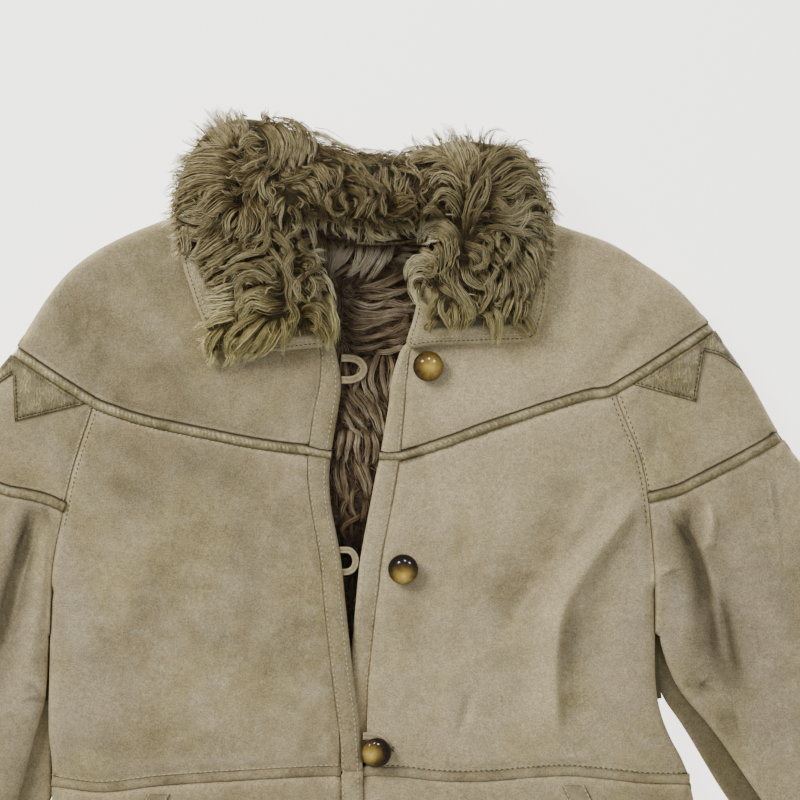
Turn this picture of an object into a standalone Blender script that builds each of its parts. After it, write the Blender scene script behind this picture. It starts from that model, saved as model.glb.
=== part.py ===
# Shearling coat, laid flat and face up. One object for each piece that is cut and sewn.
# +X is the wearer's left, +Y runs to the collar, +Z up; the floor is z = 0.
# Tables and sizes are in millimetres; MM turns them into metres when a mesh is made.

import math

import bpy
from mathutils import Matrix, Vector
from mathutils.geometry import delaunay_2d_cdt

MM = 0.001

# Driving sizes
BACK_TOP = 11.0          # one layer of shearling, pressed flat under the coat
FRONT_BASE = 11.3        # underside of the front layer
FRONT_TOP = 24.0         # outer face of the front layer where it lies flat
GAP = 0.3                # between neighbours at a seam
STEP = 15.0              # spacing of stations along seams
GRID = 25.0              # spacing of points inside a front panel
RIM_DROP = 7.5           # how far an outer edge rolls down
RIM_WIDTH = 11.0
SEAM_DROP = 2.2          # how far a panel dips into a seam
SEAM_WIDTH = 8.0
BACK_BEVEL = 3.0         # the roll at the outer edge of the back layer
BAND_RISE = 1.2          # the folded front bands stand a little higher
BAND_OVER = 28.0         # top of the right band where it laps over the left one
BAND_UNDER = 19.0        # top of the left band where the right one laps over it
LAP_START = 40.0         # the bands begin to close at this y, and have closed at LAP_END
LAP_END = -5.0
PIPING_WIDTH = 8.4
PIPING_RISE = 3.2
STRIP_WIDTH = 7.6
STRIP_RISE = 1.6
TRIM_LIFT = 0.3
TRIM_WALL = 2.2
BUTTON_RADIUS = 13.0
SHANK_RADIUS = 2.6
SHANK_HEIGHT = 4.2
LOOP_HALF = 9.6          # from the loop's middle line to the middle of a leg
LOOP_WIDTH = 5.6
LOOP_WALL = 2.6
WELT_LENGTH = 150.0
WELT_WIDTH = 18.0

# Colours (sRGB), roughness and metallic value of each kind of material
FINISHES = {
    "suede": ("#A89C80", 0.92, 0.0),
    "suede_dark": ("#978B6E", 0.90, 0.0),
    "piping": ("#9A8F70", 0.45, 0.0),
    "fleece": ("#6B5A48", 0.95, 0.0),
    "collar_fur": ("#7B6F50", 0.95, 0.0),
    "button": ("#6E4F22", 0.12, 0.0),
}

# Body: side seams, band seams and free front edges, x at each y
BODY_COLUMNS = ("y", "side_r", "seam_r", "edge_r", "edge_l", "seam_l", "side_l")
BODY_ROWS = (
    (262.0, -214.0, -41.0, -28.0, 38.0, 50.0, 205.0),
    (244.0, -218.0, -36.0, -23.0, 33.5, 42.5, 210.0),
    (216.0, -224.0, -35.5, -18.0, 25.0, 38.5, 214.0),
    (196.5, -228.5, -39.5, -19.5, 23.0, 36.5, 219.0),
    (152.0, -243.0, -46.0, -26.5, 15.5, 32.5, 237.0),
    (131.0, -249.0, -46.0, -28.0, 11.0, 29.0, 242.0),
    (109.5, -253.5, -43.5, -26.5, 7.0, 25.5, 245.0),
    (63.0, -263.0, -35.5, -18.0, -1.5, 16.5, 249.0),
    (29.0, -265.5, -32.5, -14.5, -5.0, 13.0, 250.5),
    (-39.0, -267.5, -25.0, -7.0, -11.5, 6.0, 251.0),
    (-66.5, -268.0, -21.5, -3.0, -13.0, 4.6, 255.0),
    (-90.0, -267.5, -18.5, -0.8, -14.0, 4.0, 264.0),
    (-120.5, -264.5, -17.5, 0.8, -14.5, 4.0, 279.0),
    (-226.0, -270.5, -16.0, 2.2, -13.5, 4.2, 295.0),
    (-472.5, -286.5, -13.5, 3.4, -11.2, 5.2, 309.5),
    (-500.0, -288.0, -13.2, 3.6, -11.0, 5.4, 311.0),
)

# Sleeves: inner and outer edges of the top layer and inner edge of the under layer, x at each y
SLEEVE_R_COLUMNS = ("y", "inner", "under", "outer")
SLEEVE_R_ROWS = (
    (262.0, -214.6, -214.6, -280.0),
    (241.5, -219.0, -219.0, -296.5),
    (197.0, -229.0, -229.0, -333.0),
    (156.5, -242.2, -242.2, -364.0),
    (125.0, -250.8, -250.8, -391.0),
    (80.0, -261.0, -261.0, -429.0),
    (44.0, -265.4, -265.4, -449.0),
    (-5.0, -267.6, -267.6, -464.0),
    (-58.5, -271.0, -270.0, -474.5),
    (-86.0, -279.0, -273.5, -480.0),
    (-138.5, -293.0, -284.0, -489.0),
    (-217.5, -324.5, -312.5, -502.5),
    (-298.5, -357.0, -345.0, -515.0),
    (-378.0, -386.0, -376.0, -527.0),
    (-420.0, -401.0, -391.0, -533.0),
)
SLEEVE_L_COLUMNS = ("y", "inner", "under", "outer")
SLEEVE_L_ROWS = (
    (262.0, 205.6, 205.6, 299.0),
    (217.5, 214.4, 214.4, 330.0),
    (170.0, 231.6, 231.6, 357.0),
    (142.0, 240.4, 240.4, 378.0),
    (115.5, 245.0, 245.0, 399.5),
    (85.0, 248.0, 248.0, 420.0),
    (41.0, 251.0, 251.0, 443.5),
    (-5.0, 254.5, 251.8, 464.0),
    (-47.5, 270.5, 254.5, 495.5),
    (-83.5, 300.0, 277.0, 515.0),
    (-141.0, 340.0, 312.0, 541.0),
    (-202.5, 385.0, 357.0, 571.0),
    (-267.0, 432.0, 408.0, 601.0),
    (-331.5, 479.5, 458.0, 631.0),
    (-380.0, 515.0, 493.0, 655.0),
)

# Seams and edges that run across, y at each x
YOKE_R = ((-310.0, 253.0), (-296.5, 241.5), (-228.5, 197.0), (-214.0, 191.0), (-188.5, 182.5),
          (-154.5, 175.0), (-120.5, 168.0), (-86.5, 161.5), (-46.0, 156.5), (0.0, 153.0))
YOKE_L = ((0.0, 145.0), (33.0, 151.5), (66.5, 161.5), (100.5, 174.0), (134.5, 185.5),
          (168.5, 196.5), (194.0, 204.0), (214.0, 208.0), (299.0, 262.0), (315.0, 275.0))
YOKE_BACK = ((-310.0, 253.0), (-296.5, 241.5), (-228.5, 197.0), (-120.0, 166.0), (0.0, 158.0),
             (110.0, 172.0), (214.0, 208.0), (299.0, 262.0), (315.0, 275.0))
WAIST_R = ((-300.0, -124.0), (-263.5, -126.5), (-222.5, -131.5), (-171.5, -126.0),
           (-86.5, -120.5), (-18.0, -117.5), (20.0, -118.0))
WAIST_L = ((-20.0, -118.0), (3.5, -118.0), (32.5, -118.5), (58.0, -121.5), (100.5, -122.5),
           (168.5, -117.5), (211.0, -120.5), (245.0, -124.0), (320.0, -124.5))
WAIST_BACK = ((-300.0, -124.0), (-200.0, -126.0), (0.0, -120.0), (200.0, -121.0), (320.0, -124.5))
HEM = ((-320.0, -466.0), (-200.0, -469.5), (0.0, -472.5), (200.0, -469.5), (330.0, -463.0))
SHOULDER_R = ((-310.0, 219.0), (-296.5, 241.5), (-280.5, 268.5), (-256.5, 302.0), (-222.5, 329.0),
              (-171.5, 352.0), (-125.0, 366.5), (-90.0, 375.0), (-70.0, 379.0))
SHOULDER_L = ((85.0, 381.0), (105.0, 376.0), (130.0, 366.0), (165.0, 350.0), (212.5, 333.0),
              (236.5, 318.0), (268.5, 295.0), (287.5, 275.5), (299.0, 262.0), (315.0, 240.0))
NECK_BACK = ((-90.0, 375.0), (-66.0, 352.0), (-30.0, 341.0), (2.5, 338.0), (32.0, 337.5),
             (62.0, 341.0), (86.0, 356.0), (105.0, 376.0))
SLEEVE_SEAM_R = ((-420.0, 171.0), (-364.0, 151.0), (-308.0, 124.0), (-271.0, 115.5), (-240.0, 101.0))
SLEEVE_SEAM_L = ((230.0, 112.0), (245.0, 116.0), (270.5, 123.0), (287.5, 131.5), (321.5, 149.0),
                 (357.0, 168.0), (390.0, 184.0))
CUFF_R = ((-560.0, -325.0), (-527.0, -334.5), (-386.0, -378.0), (-360.0, -387.0))
CUFF_L = ((450.0, -352.0), (479.5, -331.5), (594.0, -251.0), (640.0, -220.0))

# Necklines of the front yokes, hidden under the collar, x at each y
NECK_R = ((262.0, -41.3), (300.0, -55.0), (345.0, -75.0), (375.0, -90.0))
NECK_L = ((262.0, 50.3), (300.0, 64.0), (345.0, 88.0), (376.0, 105.0))

# The largest folds: a line of three points, its width and its height (below zero for a trough)
FOLD_COLUMNS = ("x1", "y1", "x2", "y2", "x3", "y3", "width", "height")
FOLDS = (
    (229.0, 108.0, 174.0, 24.0, 171.0, -84.0, 13.0, 8.0),
    (207.0, 124.0, 182.0, 92.0, 158.0, 58.0, 10.0, 4.5),
    (214.0, 60.0, 205.0, 0.0, 214.0, -66.0, 13.0, -3.5),
    (-252.0, 300.0, -249.0, 272.0, -246.0, 246.0, 9.0, -3.5),
    (238.0, 318.0, 226.0, 313.0, 219.0, 312.0, 8.0, -3.0),
    (232.0, 305.0, 231.0, 287.0, 226.0, 272.0, 9.0, -3.5),
    (254.0, 268.0, 236.0, 245.0, 207.0, 219.0, 10.0, -4.0),
    (262.0, 110.0, 286.0, 63.0, 300.0, -56.0, 11.0, -5.0),
    (290.0, 131.0, 299.0, 105.0, 296.0, 78.0, 9.0, 5.0),
    (340.0, 150.0, 352.0, 120.0, 353.0, 72.0, 12.0, -3.5),
    (251.0, 43.0, 258.0, 50.0, 266.0, 56.0, 8.0, 3.5),
    (281.0, -46.0, 300.0, -42.0, 330.0, -58.0, 10.0, -4.0),
    (330.0, 42.0, 372.0, 2.0, 436.0, -22.0, 15.0, 4.5),
    (340.0, -92.0, 400.0, -74.0, 480.0, -90.0, 14.0, -4.0),
    (412.0, -186.0, 470.0, -170.0, 540.0, -186.0, 16.0, 3.5),
    (-352.0, 108.0, -330.0, 60.0, -338.0, -10.0, 11.0, -5.0),
    (-300.0, 104.0, -296.0, 50.0, -306.0, 8.0, 12.0, 4.0),
    (-420.0, 44.0, -380.0, -10.0, -326.0, -32.0, 14.0, 4.0),
    (-330.0, -146.0, -390.0, -138.0, -452.0, -166.0, 14.0, -4.0),
    (-360.0, -236.0, -420.0, -226.0, -480.0, -250.0, 15.0, 3.5),
    (-236.0, -14.0, -196.0, 20.0, -164.0, 96.0, 20.0, 3.5),
    (-246.0, 66.0, -222.0, 40.0, -206.0, -30.0, 14.0, -3.0),
    (88.0, 120.0, 96.0, 40.0, 84.0, -60.0, 26.0, 2.5),
    (84.0, -48.0, 90.0, -58.0, 83.0, -86.0, 7.0, -2.5),
    (70.0, -150.0, 84.0, -260.0, 70.0, -452.0, 24.0, 4.0),
    (-120.0, -160.0, -134.0, -280.0, -118.0, -454.0, 26.0, 4.0),
    (214.0, -160.0, 226.0, -290.0, 222.0, -450.0, 22.0, 4.5),
    (-216.0, -160.0, -226.0, -290.0, -218.0, -450.0, 22.0, 3.5),
)

# Collar: a row for each station round the neck, from the right leaf's end to the left leaf's end.
# inner and outer points, height of the underside at both, crest over the floor and rim over it
COLLAR_COLUMNS = ("xi", "yi", "xo", "yo", "low_i", "low_o", "crest", "rim")
COLLAR_ROWS = (
    (-21.0, 245.5, -131.0, 234.0, 24.4, 24.4, 33.0, 32.0),
    (-22.0, 252.0, -133.5, 246.0, 24.4, 24.4, 44.0, 36.0),
    (-23.0, 267.0, -138.0, 268.0, 24.4, 24.4, 52.0, 38.0),
    (-29.0, 292.5, -147.0, 297.0, 24.4, 24.4, 57.0, 38.0),
    (-37.5, 320.0, -157.0, 327.0, 24.4, 24.4, 61.0, 38.0),
    (-47.0, 337.0, -163.0, 364.0, 24.4, 24.4, 64.0, 38.0),
    (-51.0, 345.0, -154.0, 399.0, 24.4, 24.4, 66.0, 37.0),
    (-46.0, 350.0, -132.0, 432.0, 24.4, 18.0, 68.0, 30.0),
    (-32.0, 349.0, -98.0, 443.0, 12.0, 6.0, 70.0, 22.0),
    (-14.5, 345.0, -60.0, 434.0, 0.0, 0.0, 70.0, 18.0),
    (2.5, 341.5, -26.0, 417.5, 0.0, 0.0, 70.0, 16.0),
    (19.5, 340.5, 7.0, 410.0, 0.0, 0.0, 70.0, 16.0),
    (34.0, 341.5, 41.0, 412.0, 0.0, 0.0, 70.0, 16.0),
    (46.0, 345.5, 75.0, 424.0, 4.0, 0.0, 70.0, 18.0),
    (56.0, 351.0, 117.0, 420.0, 24.4, 8.0, 68.0, 24.0),
    (62.0, 347.0, 147.0, 406.0, 24.4, 24.4, 66.0, 36.0),
    (60.0, 338.0, 160.0, 372.0, 24.4, 24.4, 64.0, 38.0),
    (55.0, 318.0, 163.0, 339.0, 24.4, 24.4, 61.0, 38.0),
    (49.0, 292.5, 160.5, 305.0, 24.4, 24.4, 57.0, 38.0),
    (44.0, 269.0, 156.0, 275.5, 24.4, 24.4, 50.0, 37.0),
    (41.0, 258.0, 152.0, 260.0, 24.4, 24.4, 42.0, 35.0),
    (38.0, 244.5, 149.5, 248.5, 24.4, 24.4, 33.0, 32.0),
)

# Buttons: middle, height of the cloth there and how far each one leans
BUTTON_COLUMNS = ("name", "x", "y", "z", "lean", "lean_way")
BUTTON_ROWS = (
    ("button_1", 56.5, 227.6, 24.3, 0.0, 0.0),
    ("button_2", 35.5, 55.0, 24.3, 3.0, 200.0),
    ("button_3", 11.0, -100.5, 24.3, 9.0, -25.0),
    ("button_4", 11.0, -260.0, 24.3, 8.0, 15.0),
)
# Loops: middle line, where they leave the right band and the height of their underside
LOOP_COLUMNS = ("name", "x", "y", "z", "length")
LOOP_ROWS = (
    ("loop_1", -17.6, 225.5, 17.0, 22.0),
    ("loop_2", -16.2, 61.5, 17.0, 13.6),
    ("loop_3", 1.0, -98.0, 24.8, 22.5),
    ("loop_4", 3.4, -257.5, 24.8, 22.5),
)
# Triangle trim below the yoke piping on each sleeve head, from the armhole outwards
TRIM_R = ((-236.0, 203.5), (-296.0, 181.0), (-304.0, 216.0), (-331.0, 196.0))
TRIM_L = ((230.5, 211.0), (285.0, 197.0), (293.0, 232.0), (325.0, 219.0))
# Pocket welts: top corner nearest the front edge, and the slant of the welt to the side
WELTS = {"R": (-163.5, -133.0, -24.0), "L": (170.0, -125.5, 26.0)}


def blend(a, b, t):
    return a + (b - a) * t


def ease(t):
    t = min(1.0, max(0.0, t))
    return t * t * (3.0 - 2.0 * t)


def through(rows, where):
    # A smooth value at where, through (place, value) rows in rising order of place
    rows = sorted(rows)
    where = min(max(where, rows[0][0]), rows[-1][0])
    i = 0
    while i < len(rows) - 2 and where > rows[i + 1][0]:
        i += 1
    before = rows[max(i - 1, 0)]
    a, b = rows[i], rows[i + 1]
    after = rows[min(i + 2, len(rows) - 1)]
    span = b[0] - a[0]
    t = (where - a[0]) / span
    slope_a = (b[1] - before[1]) / (b[0] - before[0])
    slope_b = (after[1] - a[1]) / (after[0] - a[0])
    h = t * t * (3.0 - 2.0 * t)
    return (a[1] * (1.0 - h) + b[1] * h
            + span * slope_a * t * (1.0 - t) ** 2 - span * slope_b * t * t * (1.0 - t))


def line_of(rows):
    return lambda where: through(rows, where)


def column_of(rows, columns, name):
    k = columns.index(name)
    pairs = [(row[0], row[k]) for row in rows]
    return lambda y: through(pairs, y)


def body(name):
    return column_of(BODY_ROWS, BODY_COLUMNS, name)


def moved(line, distance):
    # The same line, moved sideways by distance along its own normal
    def shifted(where):
        slope = (line(where + 2.0) - line(where - 2.0)) / 4.0
        return line(where) + distance * math.sqrt(1.0 + slope * slope)
    return shifted


def stations(a, b, step=STEP):
    # Places from a to b: both ends and the shared multiples of step between them
    low, high = min(a, b), max(a, b)
    first = math.ceil((low + 0.3 * step) / step)
    last = math.floor((high - 0.3 * step) / step)
    places = [low] + [k * step for k in range(first, last + 1)] + [high]
    return places if a <= b else places[::-1]


def across(line, x0, x1, kind="seam", step=STEP):
    return [(x, line(x), kind) for x in stations(x0, x1, step)]


def along(line, y0, y1, kind="seam", step=STEP):
    return [(line(y), y, kind) for y in stations(y0, y1, step)]


def meet(y_of_x, x_of_y, guess=0.0):
    # Where an across line and an along line cross
    x = x_of_y(guess)
    for _ in range(60):
        x = blend(x, x_of_y(y_of_x(x)), 0.6)
    return x, y_of_x(x)


def joined(*runs):
    # One closed outline from runs of points, without doubled corners
    outline = []
    for run in runs:
        for point in run:
            if outline and math.dist(outline[-1][:2], point[:2]) < 0.5:
                continue
            outline.append(point)
    if math.dist(outline[0][:2], outline[-1][:2]) < 0.5:
        outline.pop()
    area = sum(a[0] * b[1] - b[0] * a[1] for a, b in zip(outline, outline[1:] + outline[:1]))
    return outline if area > 0 else outline[::-1]


def to_segment(x, y, ax, ay, bx, by):
    # Distance from a point to a straight stretch, and how far along it the nearest place lies
    dx, dy = bx - ax, by - ay
    t = ((x - ax) * dx + (y - ay) * dy) / max(dx * dx + dy * dy, 1e-9)
    t = min(1.0, max(0.0, t))
    return math.hypot(x - ax - t * dx, y - ay - t * dy), t


def inside(x, y, outline):
    hit = False
    for a, b in zip(outline, outline[1:] + outline[:1]):
        if (a[1] > y) != (b[1] > y) and x < a[0] + (y - a[1]) * (b[0] - a[0]) / (b[1] - a[1]):
            hit = not hit
    return hit


def edge_distances(x, y, outline):
    # Nearest distance to an outer rim and to a seam
    rim = seam = 1e9
    for a, b in zip(outline, outline[1:] + outline[:1]):
        d, _ = to_segment(x, y, a[0], a[1], b[0], b[1])
        if a[2] == "rim" and b[2] == "rim":
            rim = min(rim, d)
        else:
            seam = min(seam, d)
    return rim, seam


def fold_height(x, y):
    total = 0.0
    for row in FOLDS:
        f = dict(zip(FOLD_COLUMNS, row))
        d1, t1 = to_segment(x, y, f["x1"], f["y1"], f["x2"], f["y2"])
        d2, t2 = to_segment(x, y, f["x2"], f["y2"], f["x3"], f["y3"])
        d, t = (d1, 0.5 * t1) if d1 < d2 else (d2, 0.5 + 0.5 * t2)
        ends = 0.35 + 0.65 * math.sin(math.pi * min(0.98, max(0.02, t)))
        total += f["height"] * ends * math.exp(-(d / f["width"]) ** 2)
    return total


def flat_mask(x, y):
    # 0 where the collar, the buttons and the bands need level cloth, 1 elsewhere
    collar = ease((y - 210.0) / 25.0) * ease((185.0 - abs(x - 5.0)) / 20.0)
    centre = 1.0 - ease((abs(x - 8.0) - 40.0) / 25.0)
    return (1.0 - collar) * (1.0 - centre)


def sleeve_crown(x, y):
    # A sleeve's top layer stands highest along its middle
    if x < 0:
        inner, outer = SLEEVE["R"]["inner"](y), SLEEVE["R"]["outer"](y)
        t = (x - inner) / (outer - inner)
    else:
        inner, outer = SLEEVE["L"]["inner"](y), SLEEVE["L"]["outer"](y)
        t = (x - inner) / (outer - inner)
    return 5.0 * max(0.0, 1.0 - (2.0 * t - 1.0) ** 2) if 0.0 < t < 1.0 else 0.0


def lapped(y):
    # 0 above where the bands part, 1 where the right band lies over the left one
    return 1.0 - ease((y - LAP_END) / (LAP_START - LAP_END))


def front_surface(x, y):
    z = FRONT_TOP + flat_mask(x, y) * (fold_height(x, y) + sleeve_crown(x, y) + 1.2)
    side = SEAM_R(y) - x
    if side > -1.0:
        z += 2.2 * lapped(y) * math.exp(-(side / 22.0) ** 2)
    return z


def front_top(outline):
    # Height of a front panel's outer face, with its rolled rims and dipped seams
    def height(x, y):
        rim, seam = edge_distances(x, y, outline)
        z = front_surface(x, y)
        if rim < RIM_WIDTH:
            z -= RIM_DROP * (1.0 - math.sqrt(1.0 - (1.0 - rim / RIM_WIDTH) ** 2))
        if seam < SEAM_WIDTH:
            z -= SEAM_DROP * (1.0 - ease(seam / SEAM_WIDTH))
        return z
    return height


SLEEVE = {
    "R": {name: column_of(SLEEVE_R_ROWS, SLEEVE_R_COLUMNS, name) for name in SLEEVE_R_COLUMNS[1:]},
    "L": {name: column_of(SLEEVE_L_ROWS, SLEEVE_L_COLUMNS, name) for name in SLEEVE_L_COLUMNS[1:]},
}
SEAM_R = body("seam_r")


def material(kind):
    found = bpy.data.materials.get(kind)
    if found:
        return found
    code, rough, metal = FINISHES[kind]
    made = bpy.data.materials.new(kind)
    made.use_nodes = True
    shader = made.node_tree.nodes["Principled BSDF"]
    channels = [int(code[i:i + 2], 16) / 255.0 for i in (1, 3, 5)]
    linear = [c / 12.92 if c <= 0.04045 else ((c + 0.055) / 1.055) ** 2.4 for c in channels]
    shader.inputs["Base Color"].default_value = (*linear, 1.0)
    shader.inputs["Roughness"].default_value = rough
    shader.inputs["Metallic"].default_value = metal
    return made


def make_object(name, points, faces, kind, place=None):
    mesh = bpy.data.meshes.new(name)
    mesh.from_pydata([(x * MM, y * MM, z * MM) for x, y, z in points], [], faces)
    mesh.update()
    made = bpy.data.objects.new(name, mesh)
    own = material(kind).copy()
    own.name = name
    mesh.materials.append(own)
    bpy.context.scene.collection.objects.link(made)
    if place is not None:
        made.matrix_world = place
    return made


def triangles(outline, extra):
    # Triangles that fill an outline and use the extra points; the outline's points come first
    count = len(outline)
    points = [Vector(p[:2]) for p in outline] + [Vector(p) for p in extra]
    loop = [(i, (i + 1) % count) for i in range(count)]
    got = delaunay_2d_cdt(points, loop, [], 1, 1e-4)
    source = [(min(ids) if ids else None) for ids in got[3]]
    assert None not in source and len(got[0]) == len(points)
    faces = [tuple(source[i] for i in face) for face in got[2]]
    return [face if turn(points, face) > 0 else face[::-1] for face in faces]


def turn(points, face):
    a, b, c = (points[i] for i in face[:3])
    return (b - a).cross(c - a)


def fold_points(outline, chosen):
    # Points on each fold's crest and at its feet, so that a coarse panel still follows it
    found = []
    for row in FOLDS:
        f = dict(zip(FOLD_COLUMNS, row))
        ends = ((f["x1"], f["y1"]), (f["x2"], f["y2"]), (f["x3"], f["y3"]))
        for a, b in zip(ends, ends[1:]):
            size = math.dist(a, b)
            side_x, side_y = -(b[1] - a[1]) / size, (b[0] - a[0]) / size
            for x, y in spread(a, b, 20.0):
                for foot in (0.0, -1.3, 1.3):
                    px, py = x + side_x * foot * f["width"], y + side_y * foot * f["width"]
                    if (inside(px, py, outline) and min(edge_distances(px, py, outline)) > 6.0
                            and far_from(px, py, chosen + found, 0.62 * f["width"])):
                        found.append((px, py))
    return found


def inner_points(outline, spacing, keep=()):
    # Points just inside each edge, then a staggered grid, none closer than half a spacing
    chosen = list(keep)
    chosen += fold_points(outline, chosen)
    count = len(outline)
    for i, (x, y, kind) in enumerate(outline):
        before, after = outline[i - 1], outline[(i + 1) % count]
        dx, dy = after[0] - before[0], after[1] - before[1]
        size = max(math.hypot(dx, dy), 1e-9)
        depth = RIM_WIDTH * 0.55 if kind == "rim" else SEAM_WIDTH * 0.9
        px, py = x - dy / size * depth, y + dx / size * depth
        clear = min(edge_distances(px, py, outline))
        if clear > 0.8 * depth and inside(px, py, outline) and far_from(px, py, chosen, 0.4 * spacing):
            chosen.append((px, py))
    low_x, high_x = min(p[0] for p in outline), max(p[0] for p in outline)
    low_y, high_y = min(p[1] for p in outline), max(p[1] for p in outline)
    rise = spacing * math.sqrt(3.0) / 2.0
    for j in range(int((high_y - low_y) / rise) + 1):
        y = low_y + j * rise
        for i in range(int((high_x - low_x) / spacing) + 2):
            x = low_x + (i - 0.5 * (j % 2)) * spacing
            if not inside(x, y, outline) or not far_from(x, y, chosen, 0.62 * spacing):
                continue
            if min(edge_distances(x, y, outline)) > 0.5 * spacing:
                chosen.append((x, y))
    return chosen


def far_from(x, y, points, least):
    return all(abs(x - p[0]) > least or abs(y - p[1]) > least
               or math.hypot(x - p[0], y - p[1]) > least for p in points)


def closed_panel(name, outline, extra, top, bottom, kind, bevel=0.0):
    # A panel of cloth: a top face with inner points, a plain underside and walls between them.
    # bevel pulls the underside in along the outer rim, for the roll of the lowest layer.
    count = len(outline)
    upper = triangles(outline, extra)
    flat = [p[:2] for p in outline] + list(extra)
    points = [(x, y, top(x, y)) for x, y in flat]
    start = len(points)
    faces = list(upper)
    rings = [list(range(count))]
    if bevel:
        rings.append([start + i for i in range(count)])
        points += [(x, y, bottom(x, y) + bevel) for x, y, _ in outline]
    lowest = pulled_in(outline, bevel)
    start = len(points)
    rings.append([start + i for i in range(count)])
    points += [(x, y, bottom(x, y)) for x, y, _ in lowest]
    for above, below in zip(rings, rings[1:]):
        for i in range(count):
            j = (i + 1) % count
            faces.append((above[i], below[i], below[j], above[j]))
    faces += [tuple(start + i for i in face[::-1]) for face in triangles(lowest, [])]
    return make_object(name, points, faces, kind)


def pulled_in(outline, amount):
    if not amount:
        return outline
    count = len(outline)
    result = []
    for i, (x, y, kind) in enumerate(outline):
        before, after = outline[i - 1], outline[(i + 1) % count]
        dx, dy = after[0] - before[0], after[1] - before[1]
        size = math.hypot(dx, dy)
        reach = amount if kind == "rim" and before[2] == "rim" and after[2] == "rim" else 0.0
        result.append((x - dy / size * reach, y + dx / size * reach, kind))
    return result


def front_panel(name, outline, keep=(), kind="suede", base=None, rise=0.0, spacing=GRID, top=None):
    extra = inner_points(outline, spacing, keep)
    height = top or front_top(outline)
    closed_panel(name, outline, extra, lambda x, y: height(x, y) + rise,
                 base or (lambda x, y: FRONT_BASE), kind)
    return outline, extra, height


def back_panel(name, outline, kind="fleece"):
    closed_panel(name, outline, [], lambda x, y: BACK_TOP, lambda x, y: 0.0, kind, BACK_BEVEL)


def trim_on(name, panel, region, lift, wall, kind):
    # A piece that lies on a panel: the panel's own triangles inside region, moved out
    outline, extra, height = panel
    flat = [p[:2] for p in outline] + list(extra)
    chosen = []
    for face in triangles(outline, extra):
        cx = sum(flat[i][0] for i in face) / 3.0
        cy = sum(flat[i][1] for i in face) / 3.0
        if inside(cx, cy, region):
            chosen.append(face)
    used = sorted({i for face in chosen for i in face})
    place = {old: new for new, old in enumerate(used)}
    count = len(used)
    points = [(*flat[i], height(*flat[i]) + lift + wall) for i in used]
    points += [(*flat[i], height(*flat[i]) + lift) for i in used]
    faces = [tuple(place[i] for i in face) for face in chosen]
    faces += [tuple(place[i] + count for i in face[::-1]) for face in chosen]
    edges = {(face[k], face[(k + 1) % 3]) for face in chosen for k in range(3)}
    for a, b in sorted(edges):
        if (b, a) not in edges:
            p, q = place[a], place[b]
            faces.append((p, p + count, q + count, q))
    make_object(name, points, faces, kind)


def raised_strip(name, path, width, base, crown, rise, kind):
    # A strip in a seam: flat underside, upright sides and a rounded top
    profile = ((-0.5, "base"), (-0.5, "side"), (-0.28, "mid"), (0.0, "crown"),
               (0.28, "mid"), (0.5, "side"), (0.5, "base"))
    share = {"side": 0.0, "mid": 0.78, "crown": 1.0}
    points, rings = [], []
    for i, (x, y) in enumerate(path):
        a, b = path[max(i - 1, 0)], path[min(i + 1, len(path) - 1)]
        dx, dy = b[0] - a[0], b[1] - a[1]
        size = math.hypot(dx, dy)
        ring = []
        for offset, level in profile:
            px, py = x - dy / size * offset * width, y + dx / size * offset * width
            z = base if level == "base" else crown(x, y) + rise * share[level]
            ring.append(len(points))
            points.append((px, py, z))
        rings.append(ring)
    faces = []
    count = len(profile)
    for near, far in zip(rings, rings[1:]):
        for i in range(count):
            j = (i + 1) % count
            faces.append((near[i], far[i], far[j], near[j]))
    faces.append(tuple(rings[0]))
    faces.append(tuple(rings[-1][::-1]))
    make_object(name, points, faces, kind)


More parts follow.
